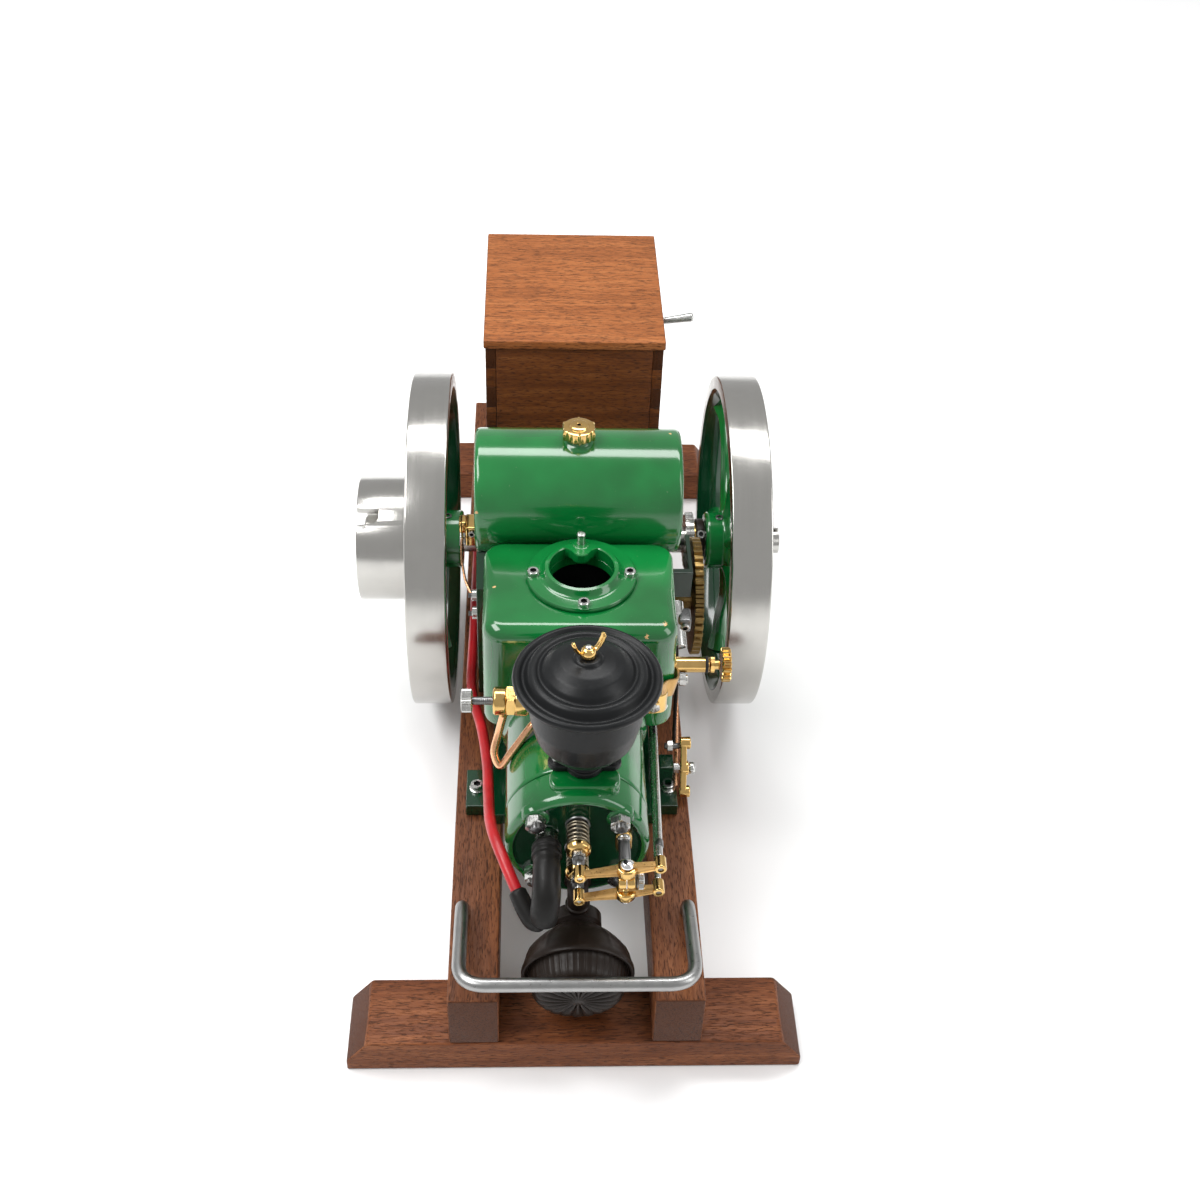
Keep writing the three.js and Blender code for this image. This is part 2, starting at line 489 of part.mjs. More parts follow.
// ---- mixer, air cleaner and fuel line ----
const cl = (profile, n = 48) => turned("z", profile, CLEANER.x, CLEANER.y, 0, n);
add("mixer_body", join(
  extrude(roundedRect(19, 12, 4), 2.6).translate(CLEANER.x, CLEANER.y, AXIS_Z + JACKET_R + 1 + GAP),
  cl([[0, 94], [6.4, 94], [5.4, 99], [5.4, 102], [0, 102]], 24),
  box(CLEANER.x - 4, CLEANER.x + 4, CLEANER.y, MIXER.y, 95.4, 101),
  rod("x", -15, 20, MIXER.y, MIXER.z - 1.2, 4.6, 4.6, 24),
  box(19.5, 21.2, MIXER.y - 4, MIXER.y + 4, 95, 103),
  box(19.5, 29, MIXER.y - 2.6, MIXER.y - 1.2, 95, 103),
), BLACK);
add("air_cleaner_bowl", cl([[0, 102.3], [9.8, 102.3], [12, 103.2], [15.4, 108], [17.2, 116], [17.8,
  129.2],
  [16.6, 129.2], [15.9, 116], [13.8, 108.6], [10, 104.5], [3, 104.5], [2.2, 106], [0, 106]], 40), BLACK);
add("air_cleaner_lid", cl([[2, 129.5], [21.4, 129.5], [22.5, 130.6], [22.2, 132], [20.4, 132.6],
  [18.6, 131.9],
  [17.6, 133.6], [15.4, 134], [14.6, 133.2], [11, 137], [6, 138.8], [3.6, 139.6], [2, 139.6], [2,
  129.5]], 40), BLACK);
add("wing_nut", cut(join(
  rod("z", 139.9, 142.4, CLEANER.x, CLEANER.y, 2.4, 1.9, 20),
  box(-1, 1, -5, 5, -0.6, 0.6).rotateX(0.55).translate(CLEANER.x, CLEANER.y + 2.6, 143.4),
  box(-1, 1, -5, 5, -0.6, 0.6).rotateX(-0.55).translate(CLEANER.x, CLEANER.y - 2.6, 143.4),
), rod("z", 139, 142, CLEANER.x, CLEANER.y, 1, 1, 12)), BRASS);
add("needle_fitting", join(
  rod("x", -20.6, -15.3, MIXER.y, MIXER.z - 1.2, 3.6, 3.6, 24),
  hexRod("x", -26.5, -20.4, MIXER.y, MIXER.z - 1.2, 8),
  rod("z", 92.6, 97, -23.5, MIXER.y, 1.7, 1.7, 16),
), BRASS);
add("needle_valve", join(
  rod("x", -32.5, -26.8, MIXER.y, MIXER.z - 1.2, 1.3, 1.3, 16),
  rod("x", -37, -32.2, MIXER.y, MIXER.z - 1.2, 3.5, 3.5, 32),
), STEEL);
const fuelPath = curve([
  [-23.5, MIXER.y, 92.3], [-25, -95, 86], [-26.5, -98, 79], [-24.6, -100, 75.6], [-20.5, -99, 81.5],
  [-14, -95.5, 90.2], [-11, -92.5, 91.6],
]);
add("fuel_pipe", tube(fuelPath, 0.9, 36, 6), COPPER);
// ---- exhaust ----
const EXHAUST = { x: 0.5, z: 53, tilt: 0.14, y: -131, axis: 38 };
const elbowPath = curve([
  [EXHAUST.x, HEAD.front - GAP, EXHAUST.z], [EXHAUST.x, -130.6, EXHAUST.z], [EXHAUST.x, -133.2,
  EXHAUST.z - 1],
  [EXHAUST.x, -134.2, EXHAUST.z - 3.2], [EXHAUST.x, -134.2, 46.6],
]);
add("exhaust_elbow", tube(elbowPath, 3.4, 12, 16), IRON);
add("muffler", new THREE.LatheGeometry([
  [0, 0], [6.6, 0], [8, 0.8], [8, 5], [7, 6], [9.5, 8.2], [13.8, 12], [16.8, 16], [18.1, 20.4],
  [18.1, 22.4],
  [16.6, 22.8], [15.2, 27], [14.5, 29], [13, 30.8], [0, 31.3],
].map(([r, h]) => new THREE.Vector2(r, h)), 36).rotateX(Math.PI + EXHAUST.tilt)
  .translate(EXHAUST.x, EXHAUST.y, EXHAUST.axis), BLACK);

// ---- governor latch and fittings on the right side ----
const LATCH = { x: 38.2, y: -76, z: 48.2 };
add("latch_lever", cut(join(
  rod("x", 37.1, 41, -71, 55.6, 2.2, 2.2, 16),
  rod("x", 37.1, 41, -80.6, 41.2, 2.1, 2.1, 16),
  rod("x", 37.3, 40.4, LATCH.y, LATCH.z, 2.6, 2.6, 20),
  box(-1.2, 1.2, -1.5, 1.5, -8.6, 8.6).rotateX(-0.587).translate(LATCH.x + 0.6, -75.8, 48.4),
), rod("x", 30, 45, LATCH.y, LATCH.z, 1.3, 1.3, 20)), BRASS);
add("latch_bolt", join(
  rod("x", 34.9 + GAP, 42, LATCH.y, LATCH.z, 1.2, 1.2, 20),
  rod("x", 34.9 + GAP, 36.9, LATCH.y, LATCH.z, 1.8, 1.8, 6),
  rod("x", 40.7, 42.8, LATCH.y, LATCH.z, 2.1, 1.8, 20),
), STEEL);
const railA = new THREE.Vector3(36, -81.8, 42.9), railB = new THREE.Vector3(38, -36, 63.5);
add("detent_rod", tube(new THREE.LineCurve3(railA, railB), 0.8, 1, 6), COPPER);
add("grease_cup", turned("x", [[0, 0], [3.4, 0], [3.4, 1.4], [2.75, 1.4], [2.75, 13.2], [1.6,
  13.6], [1.6, 17],
  [0, 17]], HOPPER.x + HOPPER.half + GAP, -57, 80, 24), BRASS);
const knobX = HOPPER.x + HOPPER.half + GAP + 17 + GAP;
add("grease_cup_knob", toothed(6, 0.7, 16, 0, 3.2).translate(knobX - 1.4 + 1.4, -57, 80), BRASS);
export default root;
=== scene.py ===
import json
import math

import bpy
import numpy as np
from mathutils import Matrix, Vector


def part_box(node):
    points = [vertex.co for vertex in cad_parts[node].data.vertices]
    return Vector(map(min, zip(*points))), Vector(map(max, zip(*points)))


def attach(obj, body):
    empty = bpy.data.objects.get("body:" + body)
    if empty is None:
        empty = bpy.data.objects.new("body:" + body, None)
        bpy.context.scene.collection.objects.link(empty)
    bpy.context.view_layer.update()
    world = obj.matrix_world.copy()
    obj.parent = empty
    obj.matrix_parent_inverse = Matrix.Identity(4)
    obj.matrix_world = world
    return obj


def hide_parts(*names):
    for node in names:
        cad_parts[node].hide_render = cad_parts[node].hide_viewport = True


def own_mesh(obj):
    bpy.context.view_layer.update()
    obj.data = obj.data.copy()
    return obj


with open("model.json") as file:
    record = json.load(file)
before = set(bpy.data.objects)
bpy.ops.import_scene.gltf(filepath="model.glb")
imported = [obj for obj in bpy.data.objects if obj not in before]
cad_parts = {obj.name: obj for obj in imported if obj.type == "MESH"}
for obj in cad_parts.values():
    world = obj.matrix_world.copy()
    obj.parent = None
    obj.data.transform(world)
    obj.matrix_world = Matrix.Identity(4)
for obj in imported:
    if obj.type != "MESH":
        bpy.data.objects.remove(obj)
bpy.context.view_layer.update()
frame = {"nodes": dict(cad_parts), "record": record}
MM = 0.001
TAU = 2 * math.pi


def span(node):
    """Lowest and highest corner of a CAD node in millimetres."""
    low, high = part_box(node)
    return np.array(low) / MM, np.array(high) / MM


def middle(node):
    low, high = span(node)
    return (low + high) / 2


# Engine frame: x from the mid-plane of the rails, y from the middle of the rails, z from the table.
rail_low, rail_high = span("left_rail")[0], span("right_rail")[1]
ORIGIN = np.array([(rail_low[0] + rail_high[0]) / 2, (rail_low[1] + rail_high[1]) / 2, 0.0])
RAIL_TOP = rail_high[2]
CRANK = middle("flywheel_left") - ORIGIN
CRANK[0] = 0
AXIS_Z = CRANK[2]


# ---------------------------------------------------------------- surfaces

def eased(profile, r=0.4, k=4):
    """Polyline with each inner corner v turned into a curve: (1-t)^2 p + 2t(1-t) v + t^2 q,
    where p and q lie r before and after the corner, or 45% of the way to its neighbour."""
    v = np.asarray(profile, float)
    before, after = v[:-2] - v[1:-1], v[2:] - v[1:-1]
    lb = np.linalg.norm(before, axis=1, keepdims=True) + 1e-9
    la = np.linalg.norm(after, axis=1, keepdims=True) + 1e-9
    p = v[1:-1] + before * np.minimum(r / lb, 0.45)
    q = v[1:-1] + after * np.minimum(r / la, 0.45)
    t = np.linspace(0, 1, k + 1)[None, :, None]
    bend = (1 - t) ** 2 * p[:, None] + 2 * t * (1 - t) * v[1:-1][:, None] + t**2 * q[:, None]
    return np.vstack([v[:1], bend.reshape(-1, v.shape[1]), v[-1:]])


def basis(axis):
    """Three unit vectors: the axis itself, then two across it."""
    named = {"x": ((1, 0, 0), (0, 1, 0), (0, 0, 1)), "y": ((0, 1, 0), (0, 0, 1), (1, 0, 0)),
             "z": ((0, 0, 1), (1, 0, 0), (0, 1, 0))}
    if isinstance(axis, str):
        return [np.array(v, float) for v in named[axis]]
    a = np.array(axis, float)
    a /= np.linalg.norm(a)
    b = np.cross(a, (1.0, 0, 0) if abs(a[0]) < 0.8 else (0, 1.0, 0))
    b /= np.linalg.norm(b)
    return [a, b, np.cross(a, b)]


def turned(profile, axis, at, n=64, start=0.0, sweep=TAU):
    """Surface of revolution: point(i, j) = at + h_i axis + r_i (cos a_j e1 + sin a_j e2)."""
    p = np.asarray(profile, float)
    e0, e1, e2 = basis(axis)
    a = start + sweep * np.arange(n) / (n if sweep >= TAU - 1e-6 else n - 1)
    ring = np.cos(a)[:, None] * e1 + np.sin(a)[:, None] * e2
    return np.array(at, float) + p[:, 1][:, None, None] * e0 + p[:, 0][:, None, None] * ring[None]


def shaped(radii, heights, axis, at):
    """Surface about an axis whose radius is a table: point(i, j) = at + h_ij axis + r_ij (cos a_j e1 + sin
    a_j e2)."""
    r = np.asarray(radii, float)
    h = np.broadcast_to(np.asarray(heights, float), r.shape)
    e0, e1, e2 = basis(axis)
    a = TAU * np.arange(r.shape[1]) / r.shape[1]
    ring = np.cos(a)[:, None] * e1 + np.sin(a)[:, None] * e2
    return np.array(at, float) + h[..., None] * e0 + r[..., None] * ring[None]


def hex_radius(flats, n=48, turn=0.0):
    """Distance from the middle of a hexagon to its edge at each of n angles: (flats/2) / cos(angle from
    the nearest flat)."""
    a = TAU * np.arange(n) / n + turn
    return flats / 2 / np.cos((a + math.pi / 6) % (math.pi / 3) - math.pi / 6)


def even(path, n):
    """The same path with n points at equal steps of length."""
    p = np.asarray(path, float)
    s = np.r_[0, np.cumsum(np.linalg.norm(np.diff(p, axis=0), axis=1))]
    at = np.linspace(0, s[-1], n)
    return np.stack([np.interp(at, s, p[:, k]) for k in range(p.shape[1])], axis=1)


def frames(path):
    """Tangent and two cross directions at each station, each pair turned as little as possible from the
    last."""
    t = np.gradient(path, axis=0)
    t /= np.linalg.norm(t, axis=1, keepdims=True)
    first = np.cross(t[0], (0, 0, 1.0) if abs(t[0][2]) < 0.9 else (1.0, 0, 0))
    side = [first / np.linalg.norm(first)]
    for k in range(1, len(t)):
        v = side[-1] - t[k] * np.dot(side[-1], t[k])
        side.append(v / np.linalg.norm(v))
    side = np.array(side)
    return t, side, np.cross(t, side)


def carried(path, section, scale=1.0):
    """Section carried along a path: point(i, j) = path_i + scale_i (u_j side_i + v_j up_i)."""
    p = np.asarray(path, float)
    s = np.asarray(section, float)
    _, side, up = frames(p)
    k = np.broadcast_to(np.asarray(scale, float), (len(p),))[:, None, None]
    return p[:, None] + k * (s[:, 0][None, :, None] * side[:, None] + s[:, 1][None, :, None] * up[:, None])


def circle(r=1.0, n=24, squash=1.0):
    a = TAU * np.arange(n) / n
    return np.stack([r * np.cos(a), r * squash * np.sin(a)], axis=1)


def rounded_rect(w, h, r, k=6):
    """Closed outline: four quarter circles of radius r about the inset corners."""
    a = np.linspace(0, math.pi / 2, k + 1)
    q = np.stack([np.cos(a), np.sin(a)], axis=1)
    corners = [(1, 1), (-1, 1), (-1, -1), (1, -1)]
    turns = [np.array([[1, 0], [0, 1]]), np.array([[0, 1], [-1, 0]]), np.array([[-1, 0], [0, -1]]),
             np.array([[0, -1], [1, 0]])]
    return np.vstack([np.array([sx * (w / 2 - r), sy * (h / 2 - r)]) + r * q @ m
                      for (sx, sy), m in zip(corners, turns)])


def belt(a, ra, b, rb, k=12):
    """Outline of a belt round two circles of radii ra and rb: each end's arc between the shared tangents."""
    a, b = np.array(a, float), np.array(b, float)
    d = b - a
    length = np.linalg.norm(d)
    base, lean = math.atan2(d[1], d[0]), math.acos((ra - rb) / length)
    ta = np.linspace(base + lean, base + TAU - lean, k)
    tb = np.linspace(base - lean, base + lean, k)
    return np.vstack([a + ra * np.stack([np.cos(ta), np.sin(ta)], 1),
                      b + rb * np.stack([np.cos(tb), np.sin(tb)], 1)])


def inset(outline, d):
    """Each point moved inwards by d along the mean normal of its two edges."""
    o = np.asarray(outline, float)
    e = np.roll(o, -1, 0) - o
    e /= np.linalg.norm(e, axis=1, keepdims=True) + 1e-12
    n = np.stack([-e[:, 1], e[:, 0]], 1)
    m = n + np.roll(n, 1, 0)
    m /= np.linalg.norm(m, axis=1, keepdims=True) + 1e-12
    area = 0.5 * np.sum(o[:, 0] * np.roll(o[:, 1], -1) - np.roll(o[:, 0], -1) * o[:, 1])
    cosine = np.clip(np.sum(m * n, axis=1, keepdims=True), 0.4, 1)
    return o + m * d / cosine * (1 if area > 0 else -1)


def plate(outline, z0, z1, r, axis, at=(0, 0, 0), k=3):
    """Plate with rounded edges: the outline inset by r(1 - cos t) and raised by r(1 - sin t) along a
    quarter turn
    at each face, so point(i, j) = at + h_i axis + outline_j(inset_i)."""
    t = np.linspace(0, math.pi / 2, k + 1)
    d = np.r_[r * (1 - np.sin(t)), r * (1 - np.cos(t))]
    h = np.r_[z0 + r * (1 - np.cos(t)), z1 - r * (1 - np.sin(t))]
    e0, e1, e2 = basis(axis)
    rings = [inset(outline, x) for x in d]
    return np.array([np.array(at, float) + e0 * hi + o[:, :1] * e1 + o[:, 1:] * e2 for hi,
                     o in zip(h, rings)])


def soft_box(low, high, r, k=3):
    """Box with round edges: each point is r times a unit direction n, plus (half size - r) with the signs
    of n."""
    low, high = np.array(low, float), np.array(high, float)
    half, mid = (high - low) / 2, (high + low) / 2
    quarter = np.linspace(0, math.pi / 2, k + 1)
    lon = np.concatenate([quarter + q * math.pi / 2 for q in range(4)])
    sx = np.repeat([1, -1, -1, 1], k + 1)
    sy = np.repeat([1, 1, -1, -1], k + 1)
    lat = np.r_[quarter - math.pi / 2, quarter]
    sz = np.repeat([-1, 1], k + 1)
    n = np.stack([np.cos(lat)[:, None] * np.cos(lon), np.cos(lat)[:, None] * np.sin(lon),
                  np.broadcast_to(np.sin(lat)[:, None], (len(lat), len(lon)))], axis=2)
    sign = np.stack([np.broadcast_to(sx, n.shape[:2]), np.broadcast_to(sy, n.shape[:2]),
                     np.broadcast_to(sz[:, None], n.shape[:2])], axis=2)
    return mid + sign * (half - r) + r * n


class Piece:
    """Several point grids gathered into one mesh. Rows run along the shape and columns go round it."""

    def __init__(self, name):
        self.name, self.points, self.faces, self.marks, self.total = name, [], [], [], 0
        self.finishes = []

    def add(self, grid, finish, loop=True, ends=True, loop_rows=False):
        g = np.asarray(grid, float)
        rows, cols = g.shape[:2]
        if finish not in self.finishes:
            self.finishes.append(finish)
        mark = self.finishes.index(finish)
        i, j = np.meshgrid(np.arange(rows if loop_rows else rows - 1), np.arange(cols if loop else cols - 1),
                           indexing="ij")
        i, j = i.ravel(), j.ravel()
        i2, j2 = (i + 1) % rows, (j + 1) % cols
        quads = np.stack([i * cols + j, i * cols + j2, i2 * cols + j2, i2 * cols + j], axis=1) + self.total
        faces = quads.tolist()
        if ends and not loop_rows:
            spread = [np.ptp(g[k], axis=0).max() for k in (0, -1)]
            if spread[0] > 1e-5:
                faces.append((self.total + np.arange(cols)[::-1]).tolist())
            if spread[1] > 1e-5:
                faces.append((self.total + (rows - 1) * cols + np.arange(cols)).tolist())
        self.points.append(g.reshape(-1, 3))
        self.faces += faces
        self.marks += [mark] * len(faces)
        self.total += rows * cols
        return self

    def make(self, body, replaces=(), slot=None, bevel=0.0, sharp=34, merge=1e-6):
        mesh = bpy.data.meshes.new(self.name)
        mesh.from_pydata(((np.vstack(self.points) + ORIGIN) * MM).tolist(), [], self.faces)
        mesh.polygons.foreach_set("material_index", self.marks)
        for f in self.finishes:
            mesh.materials.append(f)
        obj = bpy.data.objects.new(self.name, mesh)
        bpy.context.scene.collection.objects.link(obj)
        return finished(obj, body, replaces, bevel, sharp, merge)


def finished(obj, body, replaces=(), bevel=0.0, sharp=34, merge=1e-6):
    """Close seams and poles, point the faces outwards, shade, bevel, and hang the piece on its body."""
    import bmesh
    mesh = obj.data
    b = bmesh.new()
    b.from_mesh(mesh)
    bmesh.ops.remove_doubles(b, verts=b.verts, dist=merge)
    bmesh.ops.dissolve_degenerate(b, edges=b.edges, dist=merge / 4)
    bmesh.ops.recalc_face_normals(b, faces=b.faces)
    b.to_mesh(mesh)
    b.free()
    mesh.polygons.foreach_set("use_smooth", [True] * len(mesh.polygons))
    mesh.set_sharp_from_angle(angle=math.radians(sharp))
    if bevel:
        m = obj.modifiers.new("edge", "BEVEL")
        m.width, m.segments, m.limit_method, m.angle_limit = bevel * MM, 2, "ANGLE", math.radians(38)
        m.harden_normals = True
        m.use_clamp_overlap = True
    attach(obj, body)
    if replaces:
        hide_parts(*([replaces] if isinstance(replaces, str) else replaces))
    return obj


def body_with(node):
    return next(b for b, nodes in frame["record"]["behaviour"]["bodies"].items() if node in nodes)


def recut(node, finish, bevel=0.35):
    """A CAD node whose shape is right, merged and given rounded edges."""
    src = frame["nodes"][node]
    obj = bpy.data.objects.new(node + "_finished", src.data.copy())
    bpy.context.scene.collection.objects.link(obj)
    obj.data.materials.clear()
    obj.data.materials.append(finish)
    import bmesh
    b = bmesh.new()
    b.from_mesh(obj.data)
    bmesh.ops.remove_doubles(b, verts=b.verts, dist=2e-6)
    bmesh.ops.dissolve_limit(b, angle_limit=math.radians(1.5), verts=b.verts, edges=b.edges)
    b.to_mesh(obj.data)
    b.free()
    return finished(obj, body_with(node), node, bevel)


# ---------------------------------------------------------------- finishes

class Shader:
    """Small helper round one material's node tree."""

    def __init__(self, name):
        self.mat = bpy.data.materials.new(name)
        self.mat.use_nodes = True
        self.tree = self.mat.node_tree
        self.bsdf = next(n for n in self.tree.nodes if n.type == "BSDF_PRINCIPLED")
        self.coord = self.new("ShaderNodeTexCoord")

    def new(self, kind, **settings):
        n = self.tree.nodes.new(kind)
        for k, v in settings.items():
            setattr(n, k, v)
        return n

    def link(self, a, b):
        self.tree.links.new(a, b)

    def set(self, **values):
        for k, v in values.items():
            self.bsdf.inputs[k.replace("_", " ")].default_value = v
        return self

    def spot(self, scale=(1, 1, 1), turn=(0, 0, 0), shift=(0, 0, 0)):
        m = self.new("ShaderNodeMapping")
        m.inputs["Scale"].default_value = scale
        m.inputs["Rotation"].default_value = turn
        m.inputs["Location"].default_value = shift
        self.link(self.coord.outputs["Object"], m.inputs["Vector"])
        return m.outputs["Vector"]

    def noise(self, vector, scale=1.0, detail=3.0, rough=0.5, distortion=0.0):
        n = self.new("ShaderNodeTexNoise")
        n.inputs["Scale"].default_value = scale
        n.inputs["Detail"].default_value = detail
        n.inputs["Roughness"].default_value = rough
        n.inputs["Distortion"].default_value = distortion
        self.link(vector, n.inputs["Vector"])
        return n.outputs["Fac"]

    def ramp(self, value, stops, mode="LINEAR"):
        n = self.new("ShaderNodeValToRGB")
        n.color_ramp.interpolation = mode
        e = n.color_ramp.elements
        while len(e) < len(stops):
            e.new(0.5)
        for slot, (at, c) in zip(e, stops):
            slot.position = at
            slot.color = (c, c, c, 1) if isinstance(c, (int, float)) else (*c, 1)
        self.link(value, n.inputs["Fac"])
        return n.outputs["Color"]

    def math(self, op, a, b=None, c=None):
        n = self.new("ShaderNodeMath", operation=op)
        for slot, v in zip(n.inputs, (a, b, c)):
            if v is None:
                continue
            if isinstance(v, (int, float)):
                slot.default_value = v
            else:
                self.link(v, slot)
        return n.outputs["Value"]

    def mix(self, fac, a, b, mode="MIX"):
        n = self.new("ShaderNodeMix", data_type="RGBA", blend_type=mode)
        for slot, v in ((n.inputs["Factor"], fac), (n.inputs["A"], a), (n.inputs["B"], b)):
            if isinstance(v, (int, float)):
                slot.default_value = v
            elif isinstance(v, tuple):
                slot.default_value = (*v, 1)
            else:
                self.link(v, slot)
        return n.outputs["Result"]

    def colour(self, value):
        self.link(value, self.bsdf.inputs["Base Color"])
        return self

    def rough(self, value):
        self.link(value, self.bsdf.inputs["Roughness"])
        return self

    def bump(self, height, depth_mm, strength=1.0):
        n = self.new("ShaderNodeBump")
        n.inputs["Strength"].default_value = strength
        n.inputs["Distance"].default_value = depth_mm * MM
        self.link(height, n.inputs["Height"])
        self.link(n.outputs["Normal"], self.bsdf.inputs["Normal"])
        return self


def hardwood(name, grain, dark, mid, light, shift=0.0, figure_depth=0.0):
    """Open-grained reddish hardwood. Along one axis run slow colour bands, fine fibres and short dark pores;
    faces square to that axis show darker end grain with round pores."""
    s = Shader(name)

    def stretch(long, wide):
        return tuple(long if k == "xyz".index(grain) else wide for k in range(3))

    figure = s.noise(s.spot(stretch(7, 95), shift=(shift, shift * 2, shift)), 1.0, 5, 0.6, 0.8)
    ribbon = s.noise(s.spot(stretch(45, 700), shift=(shift, 0.3, 0)), 1.0, 4, 0.65, 0.4)
    pores = s.noise(s.spot(stretch(330, 2600), shift=(shift, 0, 0.1)), 1.0, 2, 0.55, 0.5)
    fibre = s.noise(s.spot(stretch(150, 5200)), 1.0, 3, 0.6)
    tone = s.math("ADD", s.math("MULTIPLY", figure, 0.5), s.math("MULTIPLY", ribbon, 0.5))
    base = s.ramp(tone, [(0.36, dark), (0.5, mid), (0.64, light)])
    pore = s.ramp(pores, [(0.52, 0.0), (0.62, 1.0)])
    fleck = s.ramp(fibre, [(0.35, 0.0), (0.65, 1.0)])
    shade = tuple(0.22 * v for v in dark)
    long_grain = s.mix(s.math("MULTIPLY", pore, 0.85), base, shade)
    long_grain = s.mix(s.math("MULTIPLY", fleck, 0.3), long_grain, light)
    dots = s.noise(s.spot((1900, 1900, 1900)), 1.0, 2, 0.5)
    end_grain = s.mix(s.ramp(dots, [(0.55, 0.0), (0.68, 0.8)]), tuple(0.5 * v for v in mid), shade)
    split = s.new("ShaderNodeSeparateXYZ")
    s.link(s.coord.outputs["Normal"], split.inputs["Vector"])
    across = s.math("GREATER_THAN", s.math("ABSOLUTE", split.outputs[grain.upper()]), 0.75)
    s.colour(s.mix(across, long_grain, end_grain))
    s.rough(s.ramp(pores, [(0.3, 0.40), (0.7, 0.62)]))
    wavy = s.noise(s.spot(stretch(420, 900)), 1.0, 2, 0.5, 0.4)
    height = s.math("SUBTRACT", s.math("MULTIPLY", fleck, 0.25), pore)
    s.bump(s.math("ADD", height, s.math("MULTIPLY", wavy, figure_depth)), 0.06, 0.8)
    s.set(Specular_IOR_Level=0.2)
    return s.mat


def enamel(name, deep=(0.001, 0.092, 0.016), bright=(0.002, 0.160, 0.030), chips=()):
    """Gloss green enamel with a faint orange peel; chips are small bare yellowish spots at given places
    (mm) and radii."""
    s = Shader(name)
    cloud = s.noise(s.spot((30, 30, 30)), 1.0, 3, 0.5)
    c = s.ramp(cloud, [(0.35, deep), (0.65, bright)])
    dust = s.noise(s.spot((900, 900, 900)), 1.0, 2, 0.5)
    c = s.mix(s.ramp(dust, [(0.72, 0.0), (0.8, 0.35)]), c, (0.10, 0.20, 0.09))
    worn = None
    for (x, y, z), r in chips:
        d = s.new("ShaderNodeVectorMath", operation="DISTANCE")
        s.link(s.coord.outputs["Object"], d.inputs[0])
        d.inputs[1].default_value = tuple((np.array([x, y, z]) + ORIGIN) * MM)
        edge = s.math("MULTIPLY", s.math("SUBTRACT", s.noise(s.spot((1500, 1500, 1500)), 1.0, 3, 0.6), 0.5),
                      2.2 * r * MM)
        m = s.math("LESS_THAN", s.math("ADD", d.outputs["Value"], edge), r * MM)
        worn = m if worn is None else s.math("MAXIMUM", worn, m)
    if worn is not None:
        c = s.mix(worn, c, (0.50, 0.30, 0.12))
        s.rough(s.math("ADD", s.math("MULTIPLY", worn, 0.44), 0.16))
    else:
        s.rough(s.ramp(cloud, [(0.3, 0.13), (0.7, 0.2)]))
    s.colour(c)
    peel = s.noise(s.spot((420, 420, 420)), 1.0, 2, 0.5)
    s.bump(peel, 0.02, 0.35)
    s.set(Coat_Weight=0.5, Coat_Roughness=0.06, Specular_IOR_Level=0.55)
    return s.mat


def turned_steel(name, centre, axis="x", colour=(0.50, 0.49, 0.465), low=0.11, high=0.20):
    """Lathe-turned steel: fine rings that run round the axis, so the pattern changes along it and with the
    radius only."""
    s = Shader(name)
    split = s.new("ShaderNodeSeparateXYZ")
    s.link(s.spot((1, 1, 1), shift=tuple(-(np.array(centre) + ORIGIN) * MM)), split.inputs["Vector"])
    across = [k for k in "XYZ" if k.lower() != axis]
    a, b = (split.outputs[k] for k in across)
    radius = s.math("SQRT", s.math("ADD", s.math("MULTIPLY", a, a), s.math("MULTIPLY", b, b)))
    angle = s.math("ARCTAN2", b, a)
    join = s.new("ShaderNodeCombineXYZ")
    s.link(s.math("MULTIPLY", split.outputs[axis.upper()], 2600.0), join.inputs[0])
    s.link(s.math("MULTIPLY", radius, 2600.0), join.inputs[1])
    s.link(s.math("MULTIPLY", s.math("SINE", angle), 1.6), join.inputs[2])
    rings = s.noise(join.outputs["Vector"], 1.0, 4, 0.7)
    blot = s.noise(s.spot((60, 60, 60)), 1.0, 4, 0.6)
    s.colour(s.mix(s.ramp(blot, [(0.4, 0.0), (0.75, 0.35)]), colour, tuple(0.72 * v for v in colour)))
    s.rough(s.math("ADD", s.ramp(rings, [(0.3, low), (0.7, high)]), s.ramp(blot, [(0.3, 0.0), (0.7, 0.08)])))
    s.bump(rings, 0.006, 0.5)
    s.set(Metallic=1.0)
    return s.mat


def metal(name, colour, low, high, grain=900.0, depth=0.004, tarnish=0.25, dark=0.55, cast=0.0):
    """Polished or cast metal: roughness and tone drift in soft patches, fine scratches or a cast skin in
    the bump."""
    s = Shader(name)
    patch = s.noise(s.spot((140, 140, 140)), 1.0, 5, 0.6)
    fine = s.noise(s.spot((grain, grain, grain)), 1.0, 4, 0.65)
    skin = s.noise(s.spot((2400, 2400, 2400)), 1.0, 3, 0.6)
    s.colour(s.mix(s.ramp(patch, [(0.42, 0.0), (0.72, tarnish)]), colour, tuple(dark * v for v in colour)))
    s.rough(s.ramp(fine, [(0.3, low), (0.75, high)]))
    s.bump(s.math("ADD", fine, s.math("MULTIPLY", skin, cast)), depth, 0.6)
    s.set(Metallic=1.0)
    return s.mat


